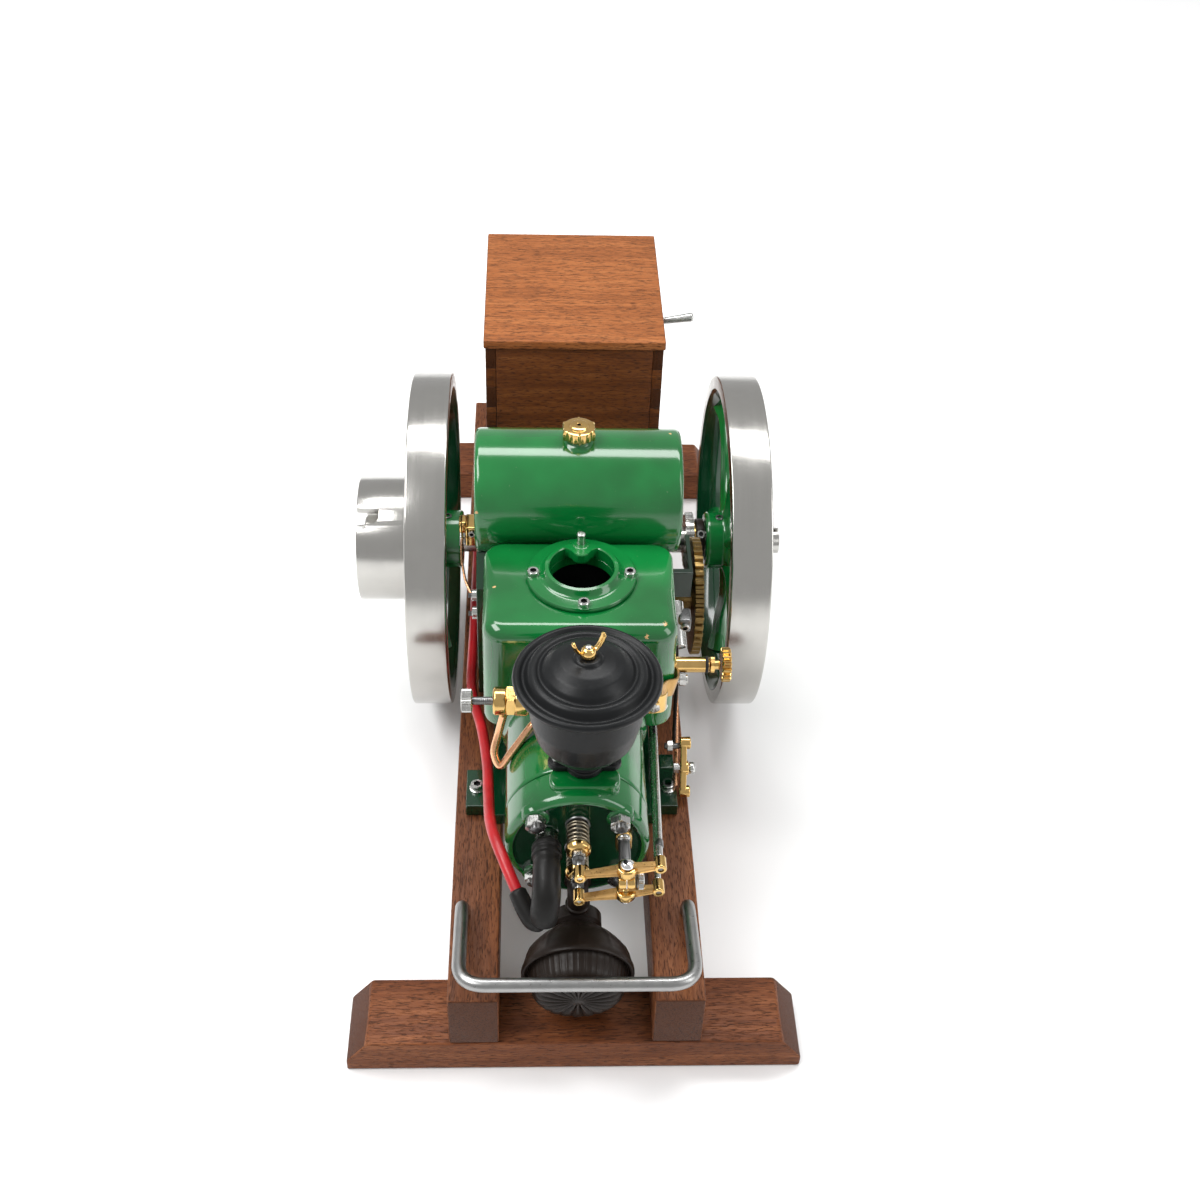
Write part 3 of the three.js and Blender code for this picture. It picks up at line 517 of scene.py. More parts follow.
def dull(name, colour, rough=0.5, grain=1200.0, depth=0.01, spread=0.12, spec=0.5, light=1.5):
    """Paint, rubber or moulded plastic: one colour that drifts a little, with a fine skin."""
    s = Shader(name)
    patch = s.noise(s.spot((90, 90, 90)), 1.0, 4, 0.6)
    fine = s.noise(s.spot((grain, grain, grain)), 1.0, 3, 0.6)
    s.colour(s.mix(s.ramp(patch, [(0.35, 0.0), (0.7, 1.0)]), colour, tuple(light * v for v in colour)))
    s.rough(s.ramp(fine, [(0.3, rough - spread), (0.7, rough + spread)]))
    s.bump(fine, depth, 0.5)
    s.set(Specular_IOR_Level=spec)
    return s.mat


rail_wood = hardwood("rail_wood", "y", (0.066, 0.019, 0.007), (0.145, 0.046, 0.016), (0.25, 0.090, 0.034))
skid_wood = hardwood("skid_wood", "x", (0.068, 0.018, 0.006), (0.145, 0.042, 0.013), (0.245, 0.084, 0.030),
                     0.4)
box_wood = hardwood("box_wood", "x", (0.066, 0.017, 0.004), (0.130, 0.037, 0.008), (0.21, 0.070, 0.018),
                    0.9, 0.3)
box_side_wood = hardwood("box_side_wood", "y", (0.066, 0.017, 0.004), (0.130, 0.037, 0.008),
                         (0.21, 0.070, 0.018), 1.7, 0.3)
lid_wood = hardwood("lid_wood", "x", (0.15, 0.042, 0.010), (0.26, 0.080, 0.021), (0.38, 0.136, 0.042), 2.3,
                    0.8)
green = enamel("green_enamel")
# darker copy of the green enamel: painted shade on the bed, the flywheel rim lips, the pulley cup floors, the
# head's front face and plug pad, and the tank's end rings
green_shaded = enamel("green_enamel_shade", (0.001, 0.022, 0.008), (0.001, 0.042, 0.013))
steel = metal("bright_steel", (0.56, 0.56, 0.54), 0.16, 0.32)
bar_steel = metal("brushed_bar_steel", (0.34, 0.34, 0.335), 0.26, 0.42)
dark_steel = metal("dark_steel", (0.20, 0.20, 0.20), 0.25, 0.42)
wire_steel = metal("wire_steel", (0.31, 0.27, 0.20), 0.24, 0.38)
brass = metal("polished_brass", (0.72, 0.47, 0.17), 0.08, 0.22, tarnish=0.45)
gear_brass = metal("oiled_gear_brass", (0.24, 0.16, 0.06), 0.25, 0.42, tarnish=0.6)
cast_brass = metal("cast_brass", (0.58, 0.35, 0.13), 0.24, 0.46, grain=1500, depth=0.09, tarnish=0.7,
                   dark=0.3, cast=0.9)
copper = metal("copper", (0.86, 0.46, 0.26), 0.18, 0.34, tarnish=0.3)
satin_black = dull("satin_black", (0.006, 0.0065, 0.007), 0.36, depth=0.006, spread=0.05, spec=0.2)
cast_black = dull("cast_black", (0.011, 0.007, 0.005), 0.38, 700, 0.02, 0.08, spec=0.2)
boot_rubber = dull("boot_rubber", (0.008, 0.0075, 0.007), 0.42, 800, 0.015, spec=0.2)
red_rubber = dull("red_rubber", (0.33, 0.006, 0.010), 0.36, 500, 0.01, 0.08)
glue_line = dull("glue_line", (0.018, 0.007, 0.004), 0.7)
# near-black: the real colour of the battery tray, the switch body and the grease cup seal, and painted shade
# in screw sockets, holes, bores, the hopper's inside and the floor of its well
black_and_hollow_shade = dull("black_and_hollow_shade", (0.004, 0.004, 0.004), 0.6)
module_blue = dull("module_blue", (0.02, 0.06, 0.22), 0.35)


# ---------------------------------------------------------------- small fittings

def nut(piece, flats, h0, h1, axis, at, finish, hole=0.0, turn=0.0):
    """Chamfered hexagon nut: side rings follow the hexagon, and each face's corners are cut back to a circle,
    lower by (radius - circle) x 0.55."""
    r = hex_radius(flats, 48, turn)
    ring = np.full(48, flats / 2 * 1.01)
    drop = np.maximum(r - flats / 2 * 1.01, 0) * 0.55
    inner = np.full(48, max(hole, 0.001))
    rad = np.array([inner, ring * 0.98, r, r, ring * 0.98, inner])
    hei = np.array([np.full(48, h0), np.full(48, h0), h0 + drop, h1 - drop, np.full(48, h1), np.full(48, h1)])
    piece.add(shaped(rad, hei, axis, at), finish, ends=hole <= 0.001)
    return piece


def stud(piece, r, h0, h1, axis, at, finish, pitch=0.45):
    """Threaded rod: a round bar whose radius rises and falls by 6% along its length, with a chamfered end."""
    h = np.linspace(h0, h1, max(6, int(abs(h1 - h0) / pitch * 4)))
    rr = r * (0.97 + 0.03 * np.cos(TAU * (h - h0) / pitch))
    prof = np.vstack([[[0, h0], [r * 0.7, h0]], np.stack([rr, h], 1)[1:-1], [[r * 0.75, h1], [0, h1]]])
    piece.add(turned(prof, axis, at, 20), finish)
    return piece


def socket_screw(piece, r, h, axis, at, finish, inside=None):
    """Cap screw head: a round head with an eased rim and a hexagon socket sunk to 55% of its height."""
    n = 48
    one = np.ones(n)
    hexa = hex_radius(r * 1.05, n)
    rad = np.array([0.001 * one, r * one, r * one, (r - 0.12 * r) * one, hexa, hexa, 0.001 * one])
    hei = np.array([0 * one, 0 * one, (h - 0.12 * r) * one, h * one, h * one, 0.4 * h * one, 0.4 * h * one])
    piece.add(shaped(rad[:5], hei[:5], axis, at), finish, ends=False)
    # the socket's walls and floor take the finish given as inside; the near-black that the calls pass is
    # painted shade in the socket
    piece.add(shaped(rad[4:], hei[4:], axis, at), inside or finish, ends=False)
    return piece


def bar(piece, r, a, b, finish, n=20, ease=0.15):
    """Round bar from point a to point b with eased ends."""
    a, b = np.array(a, float), np.array(b, float)
    length = np.linalg.norm(b - a)
    prof = eased([(0, 0), (r, 0), (r, length), (0, length)], ease, 3)
    piece.add(turned(prof, tuple(b - a), a, n), finish)
    return piece


# ---------------------------------------------------------------- wooden base

def joiner_bevels(node, finish, chamfer, body="frame"):
    low, high = span(node) - np.array([ORIGIN, ORIGIN])
    Piece(node + "_wood").add(soft_box(low, high, chamfer), finish).make(body, node, "wood")


def skid_piece(node):
    """Cross skid: end outline with its two upper corners cut off, given rounded edges along the depth."""
    low, high = span(node) - np.array([ORIGIN, ORIGIN])
    h, top = (high[0] - low[0]) / 2, high[2]
    mid = (high[0] + low[0]) / 2
    cut = [(-h, 0), (h, 0), (h, top - 9.5), (h - 7.3, top), (-h + 7.3, top), (-h, top - 9.5)]
    outline = eased(np.vstack([cut, cut[:1]]), 0.9, 3)[:-1]
    # the outline is in (x, z); basis "y" crosses with (z, x), so the columns are swapped
    flipped = np.stack([outline[:, 1], outline[:, 0] + mid], axis=1)
    Piece(node + "_wood").add(plate(flipped, low[1], high[1], 0.7, "y"), skid_wood).make("frame", node,
            "wood")


def wooden_base():
    joiner_bevels("left_rail", rail_wood, 0.8)
    joiner_bevels("right_rail", rail_wood, 0.8)
    skid_piece("front_skid")
    skid_piece("rear_skid")


def bent_handle():
    """Round bar carried round two bends of about 9 mm; the path is rounded with quadratic corners."""
    low, high = span("tow_handle") - np.array([ORIGIN, ORIGIN])
    r = 2.25
    x, front, top, rear = high[0] - r, low[1] + r, high[2] - r, high[1] - r
    corners = [(-x, rear, RAIL_TOP + 0.35), (-x, rear, top - 6.2), (-x, front, top), (x, front, top),
               (x, rear, top - 6.2), (x, rear, RAIL_TOP + 0.35)]
    p = eased(corners, 9.0, 14)
    p[:, 2] = np.maximum(p[:, 2], RAIL_TOP + 0.35)
    path = even(p, 170)
    piece = Piece("tow_handle_bar").add(carried(path, circle(r, 28)), bar_steel)
    piece.make("frame", "tow_handle", "bright_steel")


# ---------------------------------------------------------------- ignition box

def finger_box():
    """Four boards and a floor; at each corner nine short blocks alternate between the two boards' ends."""
    low, high = span("ignition_box") - np.array([ORIGIN, ORIGIN])
    t = 4.0
    piece = Piece("ignition_box_boards")
    x0, x1, y0, y1, z0, z1 = low[0], high[0], low[1], high[1], low[2], high[2]
    piece.add(soft_box((x0 + t + 0.12, y0, z0), (x1 - t - 0.12, y0 + t, z1), 0.25), box_wood)
    piece.add(soft_box((x0 + t + 0.12, y1 - t, z0), (x1 - t - 0.12, y1, z1), 0.25), box_wood)
    piece.add(soft_box((x0, y0 + t, z0), (x0 + t, y1 - t, z1), 0.25), box_side_wood)
    piece.add(soft_box((x1 - t, y0 + t, z0), (x1, y1 - t, z1), 0.25), box_side_wood)
    piece.add(soft_box((x0 + t, y0 + t, z0), (x1 - t, y1 - t, z0 + 4.7), 0.25), box_wood)
    edges = np.linspace(z0, z1, 10)
    for a in (x0, x1 - t):
        for b in (y0, y1 - t):
            for k in range(9):
                wood = box_wood if k % 2 else box_side_wood
                piece.add(soft_box((a, b, edges[k] + 0.1), (a + t, b + t, edges[k + 1] - 0.1), 0.2, 2), wood)
            piece.add(soft_box((a + 0.12, b + 0.12, z0 + 0.1), (a + t - 0.12, b + t - 0.12, z1 - 0.2), 0.1,
                               1), glue_line)
    piece.make("frame", "ignition_box", "wood")
    low, high = span("box_lid") - np.array([ORIGIN, ORIGIN])
    Piece("box_lid_board").add(soft_box(low, high, 0.6), lid_wood).make("lid", "box_lid", "wood")


def electrics():
    """Four round cells in a tray, and a moulded module with two terminals."""
    low, high = span("battery_pack") - np.array([ORIGIN, ORIGIN])
    piece = Piece("battery_pack_cells")
    mid = (low + high) / 2
    piece.add(soft_box(low, (high[0], high[1], low[2] + 3), 0.6), black_and_hollow_shade)
    piece.add(soft_box((low[0], low[1], low[2]), (high[0], low[1] + 2, high[2]), 0.6), black_and_hollow_shade)
    piece.add(soft_box((low[0], high[1] - 2, low[2]), (high[0], high[1], high[2]), 0.6), black_and_hollow_shade)
    r = (high[0] - low[0]) / 4 - 0.15
    shell = eased([(0, 0), (r, 0), (r, 54), (0, 54)], 0.6, 3)
    nub = eased([(0, 54), (2.6, 54), (2.6, 55.6), (0, 55.6)], 0.3, 2)
    for sx in (-1, 1):
        for level in (low[2] + 3.2 + r, low[2] + 3.5 + 3 * r):
            at = (mid[0] + sx * (r + 0.1), low[1] + 3, min(level, high[2] - r))
            piece.add(turned(shell, "y", at, 40), module_blue if sx > 0 else cast_black)
            piece.add(turned(nub, "y", at, 24), brass)
    piece.make("frame", "battery_pack", "battery_case")
    low, high = span("ignition_module") - np.array([ORIGIN, ORIGIN])
    piece = Piece("ignition_module_case").add(soft_box(low, (high[0], high[1], high[2] - 2.5), 1.6, 4),
                                              module_blue)
    for sy in (0.3, 0.7):
        at = ((low[0] + high[0]) / 2, low[1] + sy * (high[1] - low[1]), high[2] - 2.7)
        nut(piece, 4.5, 0, 2.0, "z", at, brass)
        stud(piece, 1.0, 1.2, 2.65, "z", at, brass)
    piece.make("frame", "ignition_module", "module_plastic")


def toggle():
    """Threaded bush with a hexagon nut and washer, and a tapered lever that ends in a ball."""
    low, high = span("toggle_switch") - np.array([ORIGIN, ORIGIN])
    face = span("ignition_box")[1][0] - ORIGIN[0]
    y, z = (low[1] + high[1]) / 2, (low[2] + high[2]) / 2
    piece = Piece("toggle_switch_body")
    piece.add(soft_box((low[0], y - 6, z - 5), (face - 4.2, y + 6, z + 5), 0.7), black_and_hollow_shade)
    piece.add(turned(eased([(3.05, -5), (3.05, 2), (2.3, 2.1), (2.25, -3)], 0.15, 2), "x", (face, y, z),
                     40), steel,
              loop_rows=True)
    nut(piece, 7, 0.3, 1.6, "x", (face, y, z), steel, hole=2.9)
    piece.add(turned(eased([(3, 0.02), (4.3, 0.02), (4.3, 0.28), (3, 0.28)], 0.1, 2), "x", (face, y, z),
                     40), steel,
              loop_rows=True)
    piece.make("frame", "toggle_switch", "bright_steel")
    low, high = span("toggle_lever") - np.array([ORIGIN, ORIGIN])
    base = np.array([face - 0.5, y, z])
    lean = (math.cos(0.165), 0, math.sin(0.165))
    prof = [(0, 0), (1.3, 0), (1.3, 2.4), (1.4, 4.5), (1.85, 14.0), (1.85, 15.0), (1.3, 15.6), (0, 15.6)]
    Piece("toggle_lever_bat").add(turned(eased(prof, 0.6, 4), lean, base, 32), steel).make(
        "toggle", "toggle_lever", "bright_steel")


# ---------------------------------------------------------------- flywheels and crankshaft

def flywheel(node, hub_out):
    """Wheel: bright turned rim, painted inside; six spokes whose path is r(t) = r0 + (r1-r0) t with a
    sideways
    bow b sin(2 pi t), section an ellipse with a raised rib on each face."""
    low, high = span(node) - np.array([ORIGIN, ORIGIN])
    radius = (high[2] - low[2]) / 2
    middle_x = {"flywheel_left": -51.75, "flywheel_right": 62.65}[node]
    at = np.array([middle_x, CRANK[1], CRANK[2]])
    half, inner = 7.25, radius - 6.0
    bright = turned_steel(node + "_turned", at)
    piece = Piece(node + "_wheel")
    rim = eased([(inner + 0.9, -half), (radius, -half), (radius, half), (inner + 0.9, half)], 0.7, 4)
    rim = np.vstack([[[inner + 0.9, -half + 0.01]], rim, [[inner + 0.9, half - 0.01]]])
    piece.add(turned(rim, "x", at, 180), bright, ends=False)
    lip = eased([(inner + 0.9, half - 0.01), (inner + 0.6, half - 0.5), (inner, half - 1.2),
                 (inner - 1.4, 2.6),
                 (inner - 1.8, 0), (inner - 1.4, -2.6), (inner, -half + 1.2), (inner + 0.6, -half + 0.5),
                 (inner + 0.9, -half + 0.01)], 0.8, 4)
    # the lip under the rim takes the darker green: painted shade inside the rim
    piece.add(turned(lip, "x", at, 180), green_shaded, ends=False)
    h0, h1 = low[0] - middle_x, high[0] - middle_x
    hub = eased([(5.3, h0), (10.2, h0), (11, h0 + 0.8), (11, -3.4), (13.5, -1.8), (13.5, 1.8), (11, 3.4),
                 (11, h1 - 0.8), (10.2, h1), (5.3, h1)], 0.9, 4)
    piece.add(turned(hub, "x", at, 72), green, loop_rows=True)
    face = h0 if hub_out < 0 else h1
    a = TAU * np.arange(40) / 40
    rib = 1 + 0.22 * np.exp(-((np.abs(np.cos(a)) - 1) / 0.05) ** 2)
    section = np.stack([2.9 * rib * np.cos(a), 3.7 * np.sin(a)], axis=1)
    t = np.linspace(0, 1, 34)
    swell = 1.0 - 0.25 * np.sin(math.pi * t) + 0.35 * np.maximum(0, t - 0.86) / 0.14 + 0.2 * np.maximum(0,
            0.12 - t) / 0.12
    for i in range(6):
        turn = i * math.pi / 3
        r = 9.5 + (inner - 0.6 - 9.5) * t
        side = 3.2 * np.sin(TAU * t)
        c, s = math.cos(turn), math.sin(turn)
        y, z = -s * r + c * side, c * r + s * side
        path = np.stack([np.zeros_like(t), y, z], axis=1) + at
        tangent = np.gradient(path, axis=0)
        tangent /= np.linalg.norm(tangent, axis=1, keepdims=True)
        across = np.cross(tangent, (1.0, 0, 0))
        grid = path[:, None] + swell[:, None, None] * (
            section[:, 0][None, :, None] * np.array([1.0, 0, 0]) + section[:, 1][None, :, None] * across[:,
                    None])
        piece.add(grid, green)
    # grub screw in the hub
    side = 1 if hub_out > 0 else -1
    up = at + np.array([side * 5.2 if abs(face) > 8 else side * 3.9, 0, 0])
    socket_screw(piece, 1.5, 1.1, "z", up + np.array([0, 0, 10.4]), dark_steel, black_and_hollow_shade)
    piece.make("crankshaft", node, "bright_steel")


def drive_pulley():
    """Cup-shaped pulley. The rim's outer edge stands at height h(a), which drops to the depth of a hooked
    notch
    for a short range of angles."""
    high = span("belt_pulley")[1] - ORIGIN
    x = high[0]
    at = np.array([x, CRANK[1], CRANK[2]])
    n = 240
    a = np.degrees(TAU * np.arange(n) / n)
    inside_notch = (a > 113.5) & (a < 129)
    hook = (a > 129) & (a <= 133)
    edge = np.where(inside_notch, -12.2 - 3.2 * np.clip((a - 121) / 8, 0, 1) ** 2, -20.5)
    edge = np.where(hook, -16.9, edge)
    one = np.ones(n)
    bright = turned_steel("pulley_turned", at)
    rad = np.array([23.0 * one, 23.7 * one, 23.7 * one, 23.5 * one, 20.3 * one, 20.0 * one, 20.0 * one,
                    9.5 * one])
    hei = np.array([0 * one, -0.6 * one, edge + 0.4, edge, edge, edge + 0.4, -5 * one, -5 * one])
    piece = Piece("belt_pulley_cup")
    piece.add(shaped(rad[:7], hei[:7], "x", at), bright, ends=False)
    # the floor of the cup takes the darker green: painted shade inside the cup
    piece.add(shaped(rad[6:], hei[6:], "x", at), green_shaded, ends=False)
    tube = eased([(9.5, -5), (9, -5.4), (9, -18.4), (8.4, -19), (5.9, -19), (5.3, -18.4), (5.3, 0),
                  (23.0, 0)], 0.3, 3)
    piece.add(turned(tube, "x", at, n), bright, ends=False)
    piece.make("crankshaft", "belt_pulley", "bright_steel")


def shaft_fittings():
    """Collar with a set screw and thrust washer on the right half of the shaft."""
    piece = Piece("shaft_collar")
    at = np.array([0, CRANK[1], CRANK[2]])
    collar = eased([(5.02, 48.6), (8.2, 48.6), (8.2, 51.8), (5.02, 51.8)], 0.5, 3)
    piece.add(turned(collar, "x", at, 56), cast_black, loop_rows=True)
    washer = eased([(5.02, 48.0), (6.8, 48.0), (6.8, 48.6), (5.02, 48.6)], 0.1, 2)
    piece.add(turned(washer, "x", at, 48), brass, loop_rows=True)
    socket_screw(piece, 1.6, 1.4, (0, -0.6, 0.8), at + np.array([50.2, -0.6 * 7.9, 0.8 * 7.9]), steel,
                 black_and_hollow_shade)
    piece.make("crankshaft")
    for node in ("crank_left", "crank_right"):
        recut(node, crank_steel, 0.3)


def gears():
    recut("crank_pinion", steel, 0.12)
    recut("cam_gear", gear_brass, 0.12)
    at = middle("cam_gear") - ORIGIN
    at[0] = span("cam_gear")[1][0] - ORIGIN[0]
    piece = Piece("cam_gear_screw")
    piece.add(turned(eased([(0, 0), (3.2, 0), (3.2, 0.9), (2.2, 1.3), (0, 1.3)], 0.2, 3), "x", at, 32), steel)
    piece.make("camshaft")


def running_gear():
    """Piston with three ring grooves; the rod keeps its shape."""
    low, high = span("piston") - np.array([ORIGIN, ORIGIN])
    y0, r = low[1], (high[0] - low[0]) / 2
    prof = [(0, 0), (r - 0.6, 0), (r, 0.6)]
    for g in (3.0, 5.6, 8.2):
        prof += [(r, g), (r - 0.5, g), (r - 0.5, g + 1.1), (r, g + 1.1)]
    prof += [(r, 29.6), (r - 0.3, 30), (10.2, 30), (10.2, 7), (0, 7)]
    piece = Piece("piston_turned").add(turned(prof, "y", (0, y0, AXIS_Z), 96), steel)
    piece.make("piston_body", "piston", "bright_steel")
    recut("connecting_rod", steel, 0.4)
    recut("gudgeon_pin", steel, 0.3)


# ---------------------------------------------------------------- engine body

def bed():
    # the bed takes the darker green copy: painted shade
    recut("engine_bed", green_shaded, 0.9)
    recut("bearing_cap_left", green, 0.6)
    recut("bearing_cap_right", green, 0.6)
    piece = Piece("bed_fasteners")
    for side in (-1, 1):
        for y in (-79.6, 52):
            x = side * (33.3 if y < 0 else 34.5)
            ring = eased([(1.2, 0), (2.7, 0), (2.7, 0.35), (1.2, 0.35)], 0.1, 2)
            piece.add(turned(ring, "z", (x, y, 42.02), 36), steel, loop_rows=True)
            socket_screw(piece, 2.1, 2.0, "z", (x, y, 42.35), steel, black_and_hollow_shade)
        for y in (CRANK[1] - 11.2, CRANK[1] + 11.2):
            nut(piece, 4, 0, 1.7, "z", (side * 29, y, AXIS_Z + 5.02), steel, turn=0.3)
            stud(piece, 1.0, 1.5, 2.9, "z", (side * 29, y, AXIS_Z + 5.02), steel)
        socket_screw(piece, 1.9, 1.9, (side, 0, 0), (side * 34.0, -27.2, 85.5), steel, black_and_hollow_shade)
        socket_screw(piece, 1.9, 1.9, (side, 0, 0), (side * 34.0, -27.2, 77.5), steel, black_and_hollow_shade)
    piece.make("frame", slot="bright_steel")


def water_hopper():
    """Hopper wall, one closed shell: rings run up the outside, over a rounded shoulder, in to the round
    mouth, down
    the inside and back under. Its lower edge follows the jacket, z = axis + sqrt(R^2 - x^2), so the bore
    stays
    open. Between square and round, ring k is (1-m) rounded rectangle + m circle."""
    low, high = span("water_hopper") - np.array([ORIGIN, ORIGIN])
    cx, hw = (low[0] + high[0]) / 2, (high[0] - low[0]) / 2
    y0, y1, top, bottom = -77.2, high[1], high[2], 70.0
    cy, hl = (y0 + y1) / 2, (y1 - y0) / 2
    corners = rounded_rect(2 * hw, 2 * hl, 7, 12) + np.array([cx, cy])
    outline = even(np.vstack([corners, corners[:1]]), 241)[:-1]
    ring = np.array([2.0, -50.0])
    ang = np.arctan2(outline[:, 1] - ring[1], outline[:, 0] - ring[0])

    def circle_at(r):
        return ring + r * np.stack([np.cos(ang), np.sin(ang)], axis=1)

    def saddle(o, r, least):
        return np.maximum(least, AXIS_Z + np.sqrt(np.maximum(r * r - o[:, 0] ** 2, 0)))

    t = np.linspace(0, math.pi / 2, 9)
    foot = saddle(outline, 20.5, bottom)
    rows = [(inset(outline, 0.9), foot), (inset(outline, 0.25), foot + 0.3), (outline, foot + 1.0)]
    rows += [(outline, foot + 1 + (top - 6.5 - foot) * f) for f in np.linspace(0.12, 1, 8)]
    round_off = np.interp(outline[:, 1], [cy, y1 - 7], [5.0, 1.6])
    rows += [(inset(outline, round_off[:, None] * (1 - math.cos(u))),
              top - round_off * (1 - math.sin(u))) for u in t]
    flat = inset(outline, round_off[:, None])
    rows += [((1 - m) * flat + m * circle_at(11.2), top) for m in (0.35, 0.7, 1.0)]
    rows += [(circle_at(10.9), top - 0.2)]
    outer_rows = len(rows)
    rows += [(circle_at(10.9), top - 3.4)]
    wall = inset(outline, 3.5)
    rows += [((1 - m) * circle_at(10.9) + m * wall, top - 3.5) for m in (0.5, 1.0)]
    heel = saddle(wall, 19.5, 72.0)
    rows += [(wall, heel + (top - 6 - heel) * f) for f in (1, 0.66, 0.33, 0)]
    ledge = np.stack([np.clip(wall[:, 0], -22, 22), wall[:, 1]], axis=1)
    rows += [(ledge, saddle(ledge, 19.0, 71.4))]
    grid = np.array([np.column_stack([o, np.broadcast_to(z, len(o))]) for o, z in rows])
    chips = [((28.6, -72.6, 112.6), 1.0), ((22.6, -75.9, 110.6), 0.9), ((-4.8, -74.4, 112.2), 0.55),
             ((-6.6, -76.3, 110.2), 0.75), ((-27.0, -55.0, 113.4), 0.5), ((-29.6, -66.0, 109.9), 0.35)]
    piece = Piece("water_hopper_casting")
    piece.add(grid[:outer_rows + 1], enamel("hopper_enamel", chips=chips), ends=False)
    # the inside of the mouth, the inner wall and the underside are near-black: painted shade in the well
    piece.add(np.concatenate([grid[outer_rows:], grid[:1]]), black_and_hollow_shade, ends=False)
    bore, r = 16.0, 23.0
    nose = eased([(bore, low[1]), (r - 0.6, low[1]), (r, low[1] + 0.6), (r, -80.6), (r + 1.8, -77.4),
                  (bore, -77.4)], 1.2, 5)
    piece.add(turned(nose, "y", (0, 0, AXIS_Z), 120), green, loop_rows=True)
    tail = eased([(bore, -77.3), (r + 1.8, -77.3), (r + 1.8, -33.4), (r, y1), (bore, y1)], 0.6, 3)
    round_tail = np.roll(turned(tail, "y", (0, 0, AXIS_Z), 120), 30, axis=1)
    # the upper half of the jacket tail, the floor of the hopper's well, is near-black: painted shade; the
    # lower half is green
    piece.add(round_tail[:, :61], black_and_hollow_shade, loop=False, loop_rows=True)
    piece.add(np.concatenate([round_tail[:, 60:], round_tail[:, :1]], axis=1), green, loop=False,
              loop_rows=True)
    piece.make("frame", "water_hopper", "green_enamel", sharp=30)
    low, high = span("cylinder_liner") - np.array([ORIGIN, ORIGIN])
    prof = eased([(13.05, low[1]), (15.7, low[1]), (15.7, high[1]), (13.05, high[1])], 0.3, 2)
    Piece("cylinder_liner_sleeve").add(turned(prof, "y", (0, 0, AXIS_Z), 96), dark_steel,
                                       loop_rows=True).make(
        "frame", "cylinder_liner", "dark_iron")


def filler_collar():
    """Flange and cone. The mouth is a circle into which a round boss bites: near the boss its radius is
    r(a) = d cos a - sqrt(n^2 - d^2 sin^2 a), then it eases back to the circle."""
    low = span("hopper_collar")[0] - ORIGIN
    z0 = low[2]
    at = np.array([2.0, -50.0, z0])
    n = 144
    a = TAU * np.arange(n) / n
    one = np.ones(n)
    away = np.abs((a - math.pi / 2 + math.pi) % TAU - math.pi)
    reach, nose, edge = 9.2, 3.7, 0.385
    bite = reach * np.cos(away) - np.sqrt(np.maximum(nose**2 - (reach * np.sin(away)) ** 2, 0))
    swing = np.clip((away - edge) / 0.16, 0, 1)
    swing = swing * swing * (3 - 2 * swing)
    mouth = np.where(away < edge, bite, reach * math.cos(edge) * (1 - swing) + 10.8 * swing)
    rows = [(10.8 * one, 0 * one), (18.1 * one, 0 * one), (18.3 * one, 0.2 * one), (18.3 * one, 1.0 * one),
            (18.0 * one, 1.4 * one), (17.2 * one, 1.5 * one), (14.6 * one, 1.7 * one),
            (13.7 * one, 1.9 * one),
            (13.1 * one, 2.6 * one), (12.6 * one, 3.7 * one), (12.2 * one, 4.3 * one),
            (mouth + 0.35, 4.5 * one),
            (mouth, 4.15 * one), (mouth, 1.2 * one), (10.8 * one, 0.4 * one)]
    rad = np.array([r for r, _ in rows])
    hei = np.array([h for _, h in rows])
    piece = Piece("hopper_collar_casting").add(shaped(rad, hei, "z", at), green, loop_rows=True)
    boss = eased([(0, 0.2), (3.1, 0.2), (3.1, 3.9), (2.6, 4.5), (0, 4.5)], 0.5, 4)
    piece.add(turned(boss, "z", (2, -38.6, z0), 48), green)
    piece.add(turned(eased([(0, 4), (1.5, 4), (1.5, 8.2), (1.2, 8.5), (0, 8.5)], 0.15, 3), "z",
                     (2, -37.6, z0), 40),
              steel)
    for x, y in ((-14.1, -50.6), (18.1, -50.6), (2.4, -65.9)):
        socket_screw(piece, 1.95, 1.75, "z", (x, y, z0 + 1.45), steel, black_and_hollow_shade)
        piece.add(turned(eased([(0, 1.3), (2.6, 1.3), (2.5, 1.5), (0, 1.52)], 0.1, 2), "z", (x, y, z0), 32),
                  green)
    piece.make("frame", "hopper_collar", "green_enamel", sharp=40)


